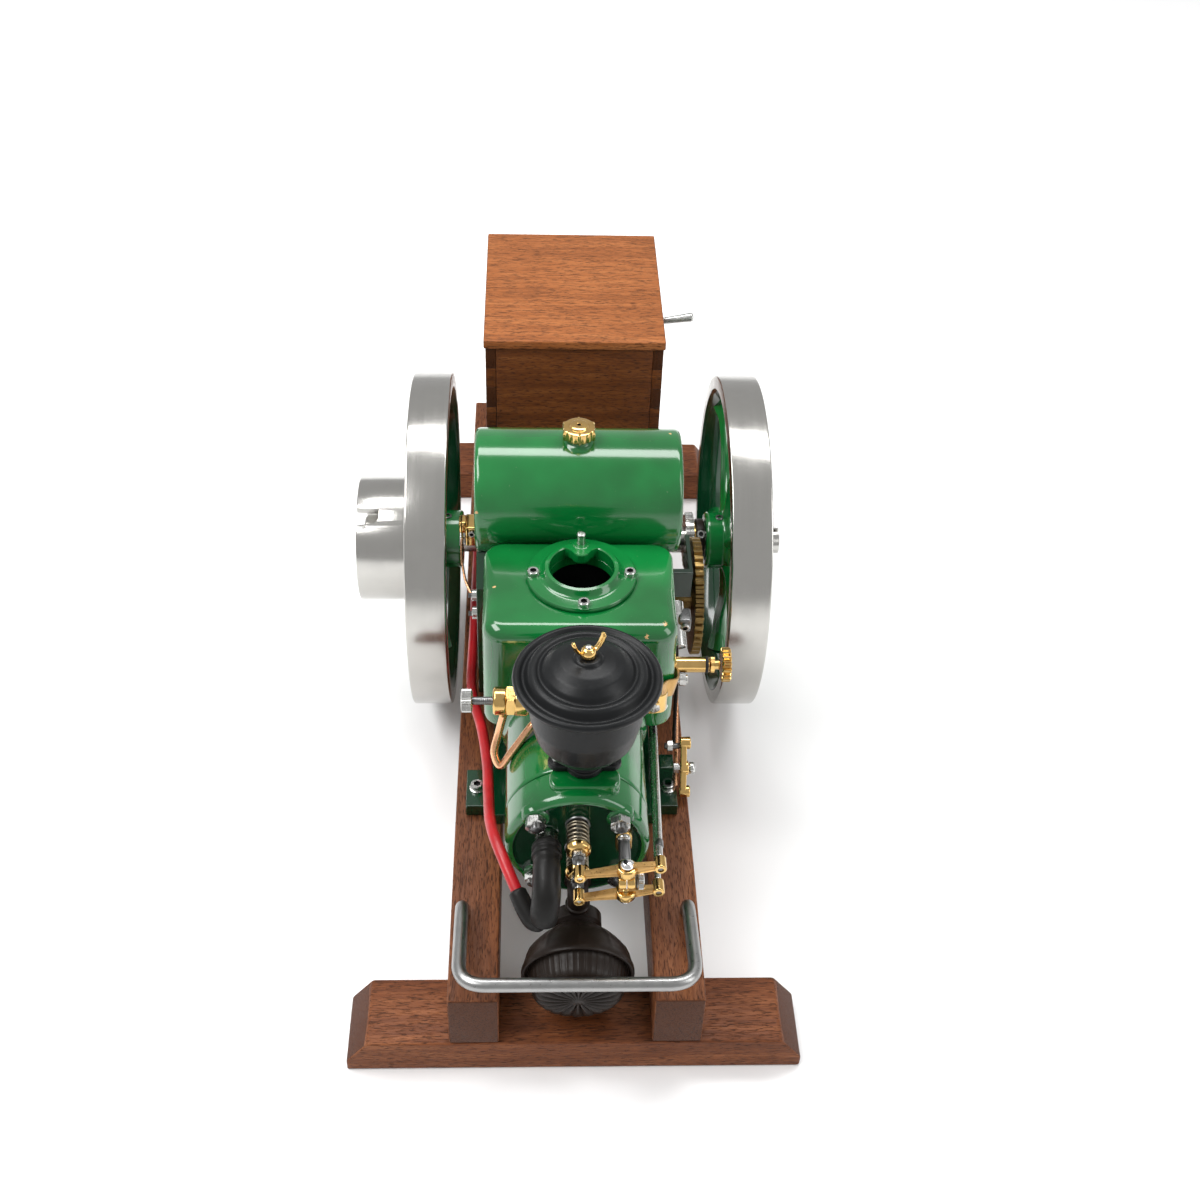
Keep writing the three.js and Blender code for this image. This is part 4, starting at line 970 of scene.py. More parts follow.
def tank():
    """Drum with rounded ends and a short neck that flares into it, and a cap with six finger lobes:
    r(a) = r0 + 0.75 |cos 3a|^60."""
    low, high = span("fuel_tank") - np.array([ORIGIN, ORIGIN])
    cx, half = (low[0] + high[0]) / 2, (high[0] - low[0]) / 2
    cy, r = (low[1] + high[1]) / 2, (high[1] - low[1]) / 2
    cz = low[2] + r
    prof = eased([(0, -half), (r, -half), (r, half), (0, half)], 2.2, 7)
    prof = np.vstack([prof[:1], [[r * 0.5, -half]], prof[1:-1], [[r * 0.5, half]], prof[-1:]])
    chips = [((-33.4, -30.2, 125.0), 0.6), ((33.0, -5.0, 140.2), 0.5), ((12.0, -26.0, 131.0), 0.2)]
    piece = Piece("fuel_tank_drum").add(turned(prof, "x", (cx, cy, cz), 160),
                                        enamel("tank_enamel", chips=chips))
    neck = eased([(3.2, r - 3), (6.6, r - 0.9), (5.2, r - 0.1), (4.6, r + 0.4), (4.6, r + 0.9),
                  (4.3, r + 1.1),
                  (3.2, r + 1.1)], 0.3, 4)
    piece.add(turned(neck, "z", (cx, cy, cz), 64), green, loop_rows=True)
    for side in (-1, 1):
        band = eased([(r - 4.4, half - 0.25), (r - 2.6, half - 0.25), (r - 2.6, half + 0.0),
                      (r - 4.4, half + 0.0)], 0.1, 2)
        # the thin rings by each end take the darker green: painted shade along the end seams
        piece.add(turned(band * np.array([1, side]), "x", (cx, cy, cz), 96), green_shaded, loop_rows=True)
    piece.make("frame", "fuel_tank", "green_enamel", sharp=30)

    low, high = span("tank_cap") - np.array([ORIGIN, ORIGIN])
    base = cz + r + 1.5
    n = 192
    a = TAU * np.arange(n) / n
    one = np.ones(n)
    lobe = np.abs(np.cos(3 * (a - math.pi / 6))) ** 60
    seam = 0.28 * np.abs(np.cos(3 * a)) ** 60
    body = 5.55 + 0.75 * lobe - seam
    rows = [(2.9 * one, -0.2 * one), (4.9 * one, -0.1 * one), (body - 0.4, 0.05 * one), (body, 0.45 * one),
            (body, 2.1 * one), (body - 0.12, 2.6 * one), (5.3 + 0.6 * lobe, 3.0 * one),
            (4.8 + 0.1 * lobe, 3.15 * one),
            (3.4 * one, 3.2 * one), (3.1 * one, 3.6 * one), (2.5 * one, 3.8 * one), (0.9 * one, 3.8 * one),
            (0.7 * one, 3.6 * one), (0.7 * one, 1.6 * one), (0.001 * one, 1.5 * one)]
    rad, hei = np.array([p for p, _ in rows]), 1.3 * np.array([h for _, h in rows])
    piece = Piece("tank_cap_brass")
    piece.add(shaped(rad[:13], hei[:13], "z", (cx, cy, base)), brass, ends=False)
    # the hollow in the top of the cap is near-black: painted shade in the hole
    piece.add(shaped(rad[12:], hei[12:], "z", (cx, cy, base)), black_and_hollow_shade, ends=False)
    spigot = eased([(2.9, -0.26), (2.9, -3), (0.001, -3)], 0.3, 3)
    piece.add(turned(spigot, "z", (cx, cy, base), n), brass, ends=False)
    piece.make("filler_cap", "tank_cap", "brass", sharp=36)


# ---------------------------------------------------------------- head, valves and rockers

HEAD_FRONT = -128.6
UP_Z, LOW_Z = 79.0, 68.0
HUB_RISE, END_RISE = 2.6, 4.4
POST_X, POST_Y = 14.4, -148.0


def cylinder_head():
    """Disc with a deep rounded front edge, a round combustion chamber sunk in its back, raised pads under
    the four
    nuts, and a flat pad for the mixer flange."""
    low, high = span("cylinder_head") - np.array([ORIGIN, ORIGIN])
    r, depth = 23.0, high[1] - low[1]
    piece = Piece("cylinder_head_casting")
    t = np.linspace(0, math.pi / 2, 9)
    edge = [(r - 2.6 + 2.6 * math.sin(u), 2.6 - 2.6 * math.cos(u)) for u in t]
    prof = [(0, 0.5), (8, 0.5), (19.2, 0.5), (19.9, 0.35), (20.3, 0.05)] + edge
    prof += [(r, depth - 0.5), (r - 0.4, depth), (9.4, depth), (9.0, depth - 0.4), (9.0, depth - 4.2),
             (0, depth - 4.2)]
    at = (0, low[1], AXIS_Z)
    # the front face takes the darker green: painted shade
    piece.add(turned(prof[:6], "y", at, 120), green_shaded, ends=False)
    piece.add(turned(prof[5:], "y", at, 120), green, ends=False)
    for x in (-13.1, 13.1):
        for z in (-13.1, 13.1):
            pad = eased([(0, -0.15), (3.9, -0.15), (4.5, 0.8), (4.9, 3), (0, 3)], 0.5, 4)
            piece.add(turned(pad, "y", (x, low[1], AXIS_Z + z), 48), green)
    # the plug pad also takes the darker green: painted shade
    piece.add(turned(eased([(0, -0.1), (3.6, -0.1), (4.2, 0.7), (4.4, 3), (0, 3)], 0.4, 3), "y",
                     (-9.7, low[1] + 0.2, 75), 40), green_shaded)
    outline = rounded_rect(22, 8.4, 3.4) + np.array([2.0, -120.6])
    piece.add(plate(outline, AXIS_Z + 14, high[2], 0.8, "z"), green)
    for z in (UP_Z, LOW_Z):
        piece.add(turned(eased([(1.25, 0), (3.8, 0), (4.1, 0.6), (1.25, 0.6)], 0.2, 3), "y",
                         (0, low[1] - 0.05, z), 36),
                  dark_steel, loop_rows=True)
    piece.make("frame", "cylinder_head", "green_enamel", sharp=30)
    for i, (x, z) in enumerate([(-13.1, 13.1), (13.1, 13.1), (-13.1, -13.1), (13.1, -13.1)]):
        piece = Piece(f"head_nut_{i + 1}_steel")
        at = (x, low[1], AXIS_Z + z)
        nut(piece, 6.0, -3.0, -0.18, "y", at, steel, hole=1.45, turn=0.35 * i + 0.2)
        stud(piece, 1.5, -4.2, 0.3, "y", at, dark_steel)
        piece.make("frame", f"head_nut_{i + 1}", "bright_steel")


def valves():
    """Stem, cup retainer and adjusting nut on each valve; springs are helices: (R cos t, p t, R sin t)."""
    for name, body, z in (("intake_valve", "intake_valve_body", UP_Z),
                          ("exhaust_valve", "exhaust_valve_body", LOW_Z)):
        low, high = span(name) - np.array([ORIGIN, ORIGIN])
        y0 = low[1]
        piece = Piece(name + "_turned")
        stem = eased([(0, y0), (0.7, y0), (0.95, y0 + 0.4), (0.95, -119.6), (2.7, -118.3), (2.7, high[1]),
                      (0, high[1])],
                     0.2, 3)
        piece.add(turned(stem, "y", (0, 0, z), 32), steel)
        cup = eased([(0.9, -139.8), (2.8, -139.8), (3.7, -139.2), (4.0, -138.2), (4.0, -137.4), (3.8, -137.2),
                     (3.6, -137.2), (3.5, -138.3), (0.9, -138.4)], 0.25, 3)
        piece.add(turned(cup, "y", (0, 0, z), 48), brass, loop_rows=True)
        nut(piece, 4.0, -141.9, -139.9, "y", (0, 0, z), steel, hole=0.9, turn=0.2)
        nut(piece, 3.6, -143.4, -142.1, "y", (0, 0, z), dark_steel, hole=0.9, turn=0.6)
        piece.make(body, name, "brass")
        spring = name.replace("valve", "spring")
        t = np.linspace(0, 1, 300)
        turns = 5.6
        pitch = 0.5 - 0.5 * np.cos(np.clip((t - 0.0) * math.pi, 0, math.pi))
        along = -136.85 + 7.7 * (0.55 * t + 0.45 * pitch)
        coil = np.stack([3.15 * np.cos(TAU * turns * t), along, z + 3.15 * np.sin(TAU * turns * t)], axis=1)
        piece = Piece(spring + "_wire").add(carried(coil, circle(0.42, 12)), wire_steel)
        obj = piece.make("frame", spring, "bright_steel")
        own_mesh(obj)


def rocker(node, body, z):
    """Cast lever seen from the front: half height h(x) tapers from hub to tips; both faces are sunk inside
    a rim.
    The whole lever is turned by a small angle in the x-z plane, so its right end stands higher."""
    x = np.linspace(-13.4, 9.5, 44)
    h = np.interp(x, [-13.4, -9, -3, 0, 3, 9.5], [0.95, 1.15, 1.75, 2.3, 1.8, 1.1])
    outline = np.vstack([np.stack([x, h], axis=1), np.stack([x[::-1], -h[::-1]], axis=1)])
    at = np.array([POST_X, POST_Y, z + HUB_RISE])
    lean = math.atan2(HUB_RISE, 14.2)
    e0 = np.array([0, 1.0, 0])
    along = np.array([math.cos(lean), 0, math.sin(lean)])
    up = np.array([-math.sin(lean), 0, math.cos(lean)])

    def layer(d, v):
        o = inset(outline, d)
        return at + e0 * v + o[:, :1] * along + o[:, 1:] * up

    sink = [(0.85, -0.6), (0.68, -0.72), (0.5, -1.1), (0.25, -1.1), (0.0, -0.85), (0.0, 0.85), (0.25, 1.1),
            (0.5, 1.1), (0.68, 0.72), (0.85, 0.6)]
    piece = Piece(node + "_casting").add(np.array([layer(d, v) for d, v in sink]), cast_brass)
    hub = eased([(1.4, -1.6), (2.7, -1.6), (3.2, -1.2), (3.2, 1.2), (2.7, 1.6), (1.4, 1.6)], 0.4, 4)
    piece.add(turned(hub, "z", at, 48), brass, loop_rows=True)
    for end, r in ((-14.2, 1.8), (10.0, 1.85)):
        ring = eased([(0.95, -1.9), (r - 0.2, -1.9), (r, -1.6), (r, 2.6), (r - 0.2, 2.8), (0.95, 2.8)], 0.2,
                     3)
        p = at + np.array([end, 0, end * math.tan(lean)])
        piece.add(turned(ring, "y", p, 40), brass, loop_rows=True)
        tip = eased([(0, -1.55), (0.9, -1.5), (0.96, -1.3), (0.96, 2.6), (0, 2.7)], 0.2, 3)
        piece.add(turned(tip, "y", p, 28), steel if end < 0 else dark_steel)
    piece.make(body, node, "brass", sharp=38)


def rocker_post():
    """Domed pin through both hubs, cross bushes with a knurled nut, and a bracket plate screwed to the
    head."""
    low_hub, high_hub = LOW_Z + HUB_RISE, UP_Z + HUB_RISE
    at = np.array([POST_X, POST_Y, 0])
    piece = Piece("rocker_post_fitting")
    pin = eased([(0, low_hub - 3.4), (1.95, low_hub - 3.4), (1.95, low_hub - 2.1), (1.27, low_hub - 2.0),
                 (1.27, high_hub + 1.9), (2.15, high_hub + 2.0), (2.1, high_hub + 2.6), (1.4, high_hub + 3.4),
                 (0, high_hub + 3.7)], 0.35, 4)
    piece.add(turned(pin, "z", at, 40), white_steel)
    mid = (low_hub + high_hub) / 2 - 0.2
    for x0, finish, r in ((-2.4, brass, 2.5), (0.3, brass, 2.5), (3.0, dark_steel, 2.1)):
        ring = eased([(0, 0), (r - 0.25, 0), (r, 0.25), (r, 2.15), (r - 0.25, 2.4), (0, 2.4)], 0.15, 3)
        piece.add(turned(ring, "x", at + np.array([x0, 0, mid]), 48), finish)
    n = 60
    a = TAU * np.arange(n) / n
    knurl = 2.35 + 0.1 * np.cos(30 * a)
    one = np.ones(n)
    piece.add(shaped(np.array([2.0 * one, knurl, knurl, 2.0 * one]),
                     np.array([0, 0.25, 1.7, 1.95])[:, None] * one,
                     "x", at + np.array([3.5, 0, mid])), steel)
    shank = rounded_rect(3.8, 3.6, 1.0)
    piece.add(plate(shank + np.array([75.2, POST_X]), POST_Y + 1.8, HEAD_FRONT - 0.6, 0.3, "y"), dark_steel)
    outline = belt((76.0, POST_X), 2.6, (71.6, POST_X), 2.6, 16)
    piece.add(plate(outline, HEAD_FRONT - 2.7, HEAD_FRONT - 0.3, 0.45, "y"), brass)
    # the smaller dome is near-black: painted shade
    for z, r, finish in ((76.2, 2.1, steel), (71.4, 1.2, black_and_hollow_shade)):
        dome = eased([(0, -1.5), (r * 0.5, -1.45), (r * 0.9, -1.0), (r, -0.4), (r, 0.2), (0, 0.2)], 0.3, 3)
        piece.add(turned(dome, "y", (POST_X, HEAD_FRONT - 2.6, z), 36), finish)
    piece.make("frame", "rocker_post", "brass")


def pushrods():
    for name, body, z in (("pushrod_upper", "intake_pushrod", UP_Z),
                          ("pushrod_lower", "exhaust_pushrod", LOW_Z)):
        a = np.array([POST_X + 10.0, POST_Y + 3.1, z + END_RISE])
        b = np.array([29.2, -34, z - 21.5])
        length = np.linalg.norm(b - a)
        prof = [(0, 0), (0.75, 0.05), (0.98, 0.5), (0.98, 4.5), (1.0, 4.6), (1.0, length - 0.4),
                (0.7, length),
                (0, length)]
        piece = Piece(name + "_bar").add(turned(eased(prof, 0.3, 3), tuple(b - a), a, 28), steel)
        cap = eased([(1.0, 5.0), (1.28, 5.1), (1.28, 8.0), (1.0, 8.1)], 0.1, 2)
        piece.add(turned(cap, tuple(b - a), a, 28), dark_steel, loop_rows=True)
        piece.make(body, name, "bright_steel")


# ---------------------------------------------------------------- ignition

def centripetal(points, n):
    """Centripetal Catmull-Rom curve: each cubic's end slopes are weighted by the square roots of chord
    lengths."""
    p = np.asarray(points, float)
    q = np.vstack([2 * p[0] - p[1], p, 2 * p[-1] - p[-2]])
    s = np.linspace(0, len(p) - 1 - 1e-9, n)
    i = s.astype(int)
    w = (s - i)[:, None]
    a, b, c, d = q[i], q[i + 1], q[i + 2], q[i + 3]
    k0, k1, k2 = (np.maximum(np.sum((v - u) ** 2, axis=1, keepdims=True) ** 0.25, 1e-4)
                  for u, v in ((a, b), (b, c), (c, d)))
    m1 = ((b - a) / k0 - (c - a) / (k0 + k1) + (c - b) / k1) * k1
    m2 = ((c - b) / k1 - (d - b) / (k1 + k2) + (d - c) / k2) * k1
    return b + m1 * w + (-3 * b + 3 * c - 2 * m1 - m2) * w**2 + (2 * b - 2 * c + m1 + m2) * w**3


def ignition():
    x, z = -9.7, 75.0
    piece = Piece("spark_plug_steel")
    at = (x, HEAD_FRONT, z)
    nut(piece, 6.4, -3.6, -0.3, "y", at, steel, turn=0.25)
    shank = eased([(0, -9.4), (1.4, -9.4), (1.7, -9), (1.7, -4.4), (2.5, -4), (2.5, -3.5), (2.2, 0),
                   (2.2, 5), (0, 5)],
                  0.2, 3)
    piece.add(turned(shank, "y", at, 36), steel)
    piece.make("frame", "spark_plug", "bright_steel")

    path = even(centripetal([(x, -132.6, z), (x, -138, z), (x, -143.5, z - 0.8), (x - 0.1, -148.6, z - 4.0),
                             (x - 0.5, -151.0, z - 8.4), (x - 0.9, -151.4, z - 12),
                             (x - 1.4, -151.2, 60.8)], 400), 150)
    s = np.linspace(0, 1, 150)
    r = np.interp(s, [0, 0.02, 0.05, 0.10, 0.11, 0.145, 0.155, 0.19, 0.20, 0.24, 0.30, 0.84, 0.93, 0.98, 1.0],
                  [3.2, 4.3, 4.7, 4.7, 4.2, 4.2, 4.75, 4.75, 4.2, 4.1, 4.35, 4.5, 4.3, 3.1, 1.6])
    piece = Piece("plug_boot_rubber").add(carried(path, circle(1.0, 48), r), boot_rubber)
    route = lead_route()
    sleeve = route[:24]
    k = np.linspace(0, 1, len(sleeve))
    r2 = np.interp(k, [0, 0.06, 0.9, 0.97, 1.0], [2.9, 3.35, 2.85, 2.7, 2.1])
    piece.add(carried(sleeve, circle(1.0, 32), r2), boot_rubber)
    piece.make("frame", "plug_boot", "boot_rubber", sharp=50)
    piece = Piece("ignition_lead_sleeve").add(carried(route, circle(1.85, 24)), red_rubber)
    piece.make("frame", "ignition_lead", "red_lead")


def lead_route():
    points = [(-11.1, -151.2, 60.8), (-13.6, -150.3, 60), (-16.2, -147.4, 62), (-19, -142.6, 65.2),
              (-23, -134, 69),
              (-26, -125, 69.4), (-27.6, -116, 66.6), (-28.6, -100, 61), (-29.5, -82, 57), (-32, -62, 54),
              (-35.5, -44, 50), (-36.6, -32, 47),
              (-36.6, 0, 44.4), (-36.6, 30, 44.4), (-36.4, 54, 44.4), (-36.2, 64, 44), (-32, 71, 43.6),
              (-26, 74.8, 44.4), (-22.4, 76.8, 45), (-22, 79.1, 45)]
    return even(centripetal(points, 2000), 420)


# ---------------------------------------------------------------- mixer and air cleaner

def air_cleaner():
    cx, cy = 2.0, -115.7
    piece = Piece("air_cleaner_bowl_pressing")
    bowl = eased([(0.001, 102.4), (9.8, 102.4), (12, 103.2), (15.4, 108), (17.2, 116), (17.8, 129.2),
                  (16.6, 129.2),
                  (15.9, 116), (13.8, 108.6), (10, 104.5), (3, 104.5), (2.2, 106), (0.001, 106)], 0.9, 5)
    piece.add(turned(bowl, "z", (cx, cy, 0), 120), satin_black, ends=False)
    piece.make("frame", "air_cleaner_bowl", "satin_black", sharp=50)
    lid = [(2, 129.5), (20.6, 129.5), (22.1, 129.8), (22.5, 130.8), (22.1, 131.9), (21.2, 132.3),
           (20.3, 131.9),
           (19.6, 131.2), (18.9, 131.2), (18.3, 132.2), (17.6, 133.5), (16.6, 134.1), (15.6, 134.0),
           (14.8, 133.4),
           (14.2, 133.5), (13.2, 134.9), (11, 136.7), (8.2, 137.9), (5.4, 138.4), (4.5, 138.6), (4.1, 139.2),
           (3.5, 139.55), (2.0, 139.6)]
    piece = Piece("air_cleaner_lid_pressing")
    piece.add(turned(eased(lid, 0.5, 4), "z", (cx, cy, 0), 160), satin_black, loop_rows=True)
    piece.make("frame", "air_cleaner_lid", "satin_black", sharp=50)

    piece = Piece("wing_nut_brass")
    boss = eased([(0, 139.9), (2.5, 139.9), (2.3, 141.4), (1.9, 142.4), (1.2, 142.8), (0, 142.8)], 0.4, 4)
    piece.add(turned(boss, "z", (cx, cy, 0), 48), brass)
    piece.add(turned(eased([(0, 142.5), (1.0, 142.5), (1.0, 143.3), (0.6, 143.6), (0, 143.6)], 0.2, 3), "z",
                     (cx, cy, 0), 28), steel)
    turn = math.radians(28)
    for side in (-1, 1):
        u = np.array([side * math.cos(turn), side * math.sin(turn), 0])
        pts = [(1.4, 140.9), (2.6, 141.6), (3.8, 142.9), (4.6, 144.5), (5.0, 146.0), (4.9, 146.9)]
        path = even(centripetal([np.array([cx, cy, h]) + u * d for d, h in pts], 80), 34)
        s = np.linspace(0, 1, 34)
        wide = np.interp(s, [0, 0.25, 0.6, 0.85, 0.95, 1], [1.1, 0.95, 1.2, 1.15, 0.8, 0.12])
        c = circle(1.0, 24)
        flat = np.array([-math.sin(turn), math.cos(turn), 0])
        tan = np.gradient(path, axis=0)
        tan /= np.linalg.norm(tan, axis=1, keepdims=True)
        other = np.cross(tan, flat)
        grid = path[:, None] + wide[:, None, None] * (0.95 * c[:, 0][None, :, None] * flat
                                                      + 0.55 * c[:, 1][None, :, None] * other[:, None])
        piece.add(grid, brass)
    piece.make("wing", "wing_nut", "brass")


def mixer():
    cx, cy, y, z = 2.0, -115.7, -93.5, 98.8
    piece = Piece("mixer_body_casting")
    base = AXIS_Z + 23 + 1.3
    outline = belt((cx - 8.6, cy), 2.9, (cx + 8.6, cy), 2.9, 12)
    middle_part = circle(6.2, 60) + np.array([cx, cy])
    piece.add(plate(outline, base, base + 2.4, 0.5, "z"), satin_black)
    piece.add(plate(middle_part, base, base + 2.4, 0.5, "z"), satin_black)
    throat = eased([(0, base + 2), (6.0, base + 2.2), (5.2, 96.2), (5.0, 99.4), (5.8, 101.2), (6.4, 102),
                    (0, 102)], 0.8, 5)
    piece.add(turned(throat, "z", (cx, cy, 0), 64), satin_black)
    for sx in (-1, 1):
        socket_screw(piece, 1.7, 1.6, "z", (cx + sx * 8.6, cy, base + 2.4), steel, black_and_hollow_shade)
    piece.add(soft_box((cx - 4, cy, 95.6), (cx + 4, y, 100.9), 1.8, 5), satin_black)
    barrel = eased([(0, -15), (4.2, -15), (4.6, -14.4), (4.6, -3), (5.1, -2.6), (5.1, 2), (4.6, 2.4),
                    (4.6, 19.4),
                    (4.2, 20), (0, 20)], 0.3, 4)
    piece.add(turned(barrel, "x", (0, y, z), 72), satin_black)
    piece.add(soft_box((19.6, y - 4, 95), (21.0, y + 4, 103), 0.4), brass)
    sheet = centripetal([(20.6, y - 1.9, 99), (24, y - 1.9, 99), (27.6, y - 1.2, 99), (28.8, y + 0.6, 99),
                         (29.0, y + 2.4, 99)], 60)
    path = even(sheet, 24)
    grid = path[:, None] + np.array([(0, -0.35, -3.6), (0, 0.35, -3.6), (0, 0.35, 3.6),
                                     (0, -0.35, 3.6)])[None]
    piece.add(grid, brass)
    nut(piece, 3.4, 0, 1.4, (0, -1, 0), (24.6, y - 2.3, 99), steel, turn=0.3)
    piece.make("frame", "mixer_body", "satin_black")

    piece = Piece("needle_fitting_brass")
    prof = eased([(0, -19.8), (4.6, -19.8), (4.9, -19.4), (4.9, -16.3), (4.6, -16.0), (4.3, -15.3),
                  (0, -15.3)], 0.25, 3)
    piece.add(turned(prof, "x", (0, y, z), 56), brass)
    nut(piece, 9.0, -22.6, -19.7, "x", (0, y, z), brass, turn=0.26)
    prof = eased([(0, -26.8), (4.1, -26.8), (4.6, -26.2), (4.6, -22.9), (4.2, -22.5), (0, -22.5)], 0.25, 3)
    piece.add(turned(prof, "x", (0, y, z), 56), brass)
    drop = eased([(0, 92.6), (1.5, 92.6), (1.7, 93), (1.7, 95.6), (0, 96)], 0.2, 3)
    piece.add(turned(drop, "z", (-23.5, y, 0), 36), brass)
    piece.make("frame", "needle_fitting", "brass")

    piece = Piece("needle_valve_steel")
    stud(piece, 1.35, -33.5, -26.8, "x", (0, y, z), dark_steel, 0.6)
    n = 144
    a = TAU * np.arange(n) / n
    knurl = 3.65 + 0.18 * np.cos(24 * a)
    one = np.ones(n)
    rad = np.array([0.001 * one, 2.2 * one, 3.0 * one, knurl, knurl, 3.0 * one, 0.001 * one])
    hei = np.array([-33.4, -33.4, -33.35, -33.7, -36.7, -37.0, -37.0])[:, None] * one
    piece.add(shaped(rad, hei, "x", (0, y, z)), steel, ends=False)
    piece.make("needle", "needle_valve", "bright_steel", sharp=30)

    points = [(-23.5, y, 92.3), (-25, -95, 86), (-26.5, -98, 79), (-24.6, -100, 75.6), (-20.5, -99, 81.5),
              (-14, -95.5, 90.2), (-11, -92.5, 91.6)]
    path = even(centripetal(points, 400), 120)
    Piece("fuel_pipe_copper").add(carried(path, circle(1.3, 24)), copper).make("frame", "fuel_pipe", "copper")


# ---------------------------------------------------------------- exhaust

def exhaust():
    """Ribs are cosine powers round the axis: r(a) = r0 + d |cos(n a / 2)|^p, and h(a) likewise on the
    face."""
    points = [(0.5, -128.9, 53), (0.5, -130.6, 53), (0.5, -133.2, 52), (0.5, -134.2, 49.8),
              (0.5, -134.2, 46.6)]
    path = even(centripetal(points, 200), 60)
    s = np.linspace(0, 1, 60)
    r = np.interp(s, [0, 0.12, 0.14, 0.85, 0.87, 1], [4.3, 4.3, 3.4, 3.4, 4.0, 4.0])
    Piece("exhaust_elbow_casting").add(carried(path, circle(1.0, 48), r), cast_black).make(
        "frame", "exhaust_elbow", "dark_iron")
    tilt = 0.14
    axis = (0, -math.cos(tilt), -math.sin(tilt))
    at = np.array([0.5, -131.0, 38.0])
    n = 360
    a = TAU * np.arange(n) / n
    one = np.ones(n)
    many = 0.35 * np.abs(np.cos(24 * a)) ** 8
    few = np.abs(np.cos(5 * a)) ** 30
    rays = np.abs(np.cos(10 * a)) ** 0.8
    rows = [(0.001 * one, 0 * one), (6.4 * one, 0 * one), (7.6 * one, 0.25 * one), (8.0 * one, 0.9 * one),
            (8.0 * one, 4.8 * one), (7.5 * one, 5.3 * one), (7.0 * one, 5.9 * one), (7.3 * one, 6.4 * one),
            (8.6 * one, 7.2 * one), (9.9 + 0.1 * few, 8.5 * one), (12.1 + 0.25 * few, 10.2 * one),
            (14.0 + 0.3 * few, 12.2 * one), (15.9 + 0.3 * few, 14.8 * one), (17.0 + 0.25 * few, 17.4 * one),
            (17.6 * one, 19.4 * one), (18.0 * one, 20.3 * one), (18.1 * one, 21.0 * one),
            (18.1 * one, 21.9 * one),
            (17.9 * one, 22.3 * one), (17.4 * one, 22.4 * one), (17.0 * one, 22.2 * one),
            (16.6 * one, 21.2 * one),
            (16.1 * one, 20.9 * one), (15.5 + 0.45 * many, 22.0 * one), (15.2 + 0.5 * many, 24.4 * one),
            (14.8 + 0.5 * many, 26.8 * one), (14.3 + 0.35 * many, 28.3 * one), (13.6 * one, 29.3 * one),
            (12.4 * one, 29.9 + 0.45 * rays), (10.4 * one, 30.1 + 0.75 * rays),
            (8.0 * one, 30.2 + 0.9 * rays),
            (5.4 * one, 30.3 + 0.9 * rays), (3.4 * one, 30.5 + 0.6 * rays), (2.2 * one, 30.9 + 0.2 * rays),
            (1.4 * one, 31.3 * one), (0.001 * one, 31.3 * one)]
    rad, hei = np.array([p for p, _ in rows]), np.array([h for _, h in rows])
    Piece("muffler_casting").add(shaped(rad, hei, axis, at), cast_black, ends=False).make(
        "frame", "muffler", "satin_black", sharp=38)


# ---------------------------------------------------------------- fittings beside the hopper

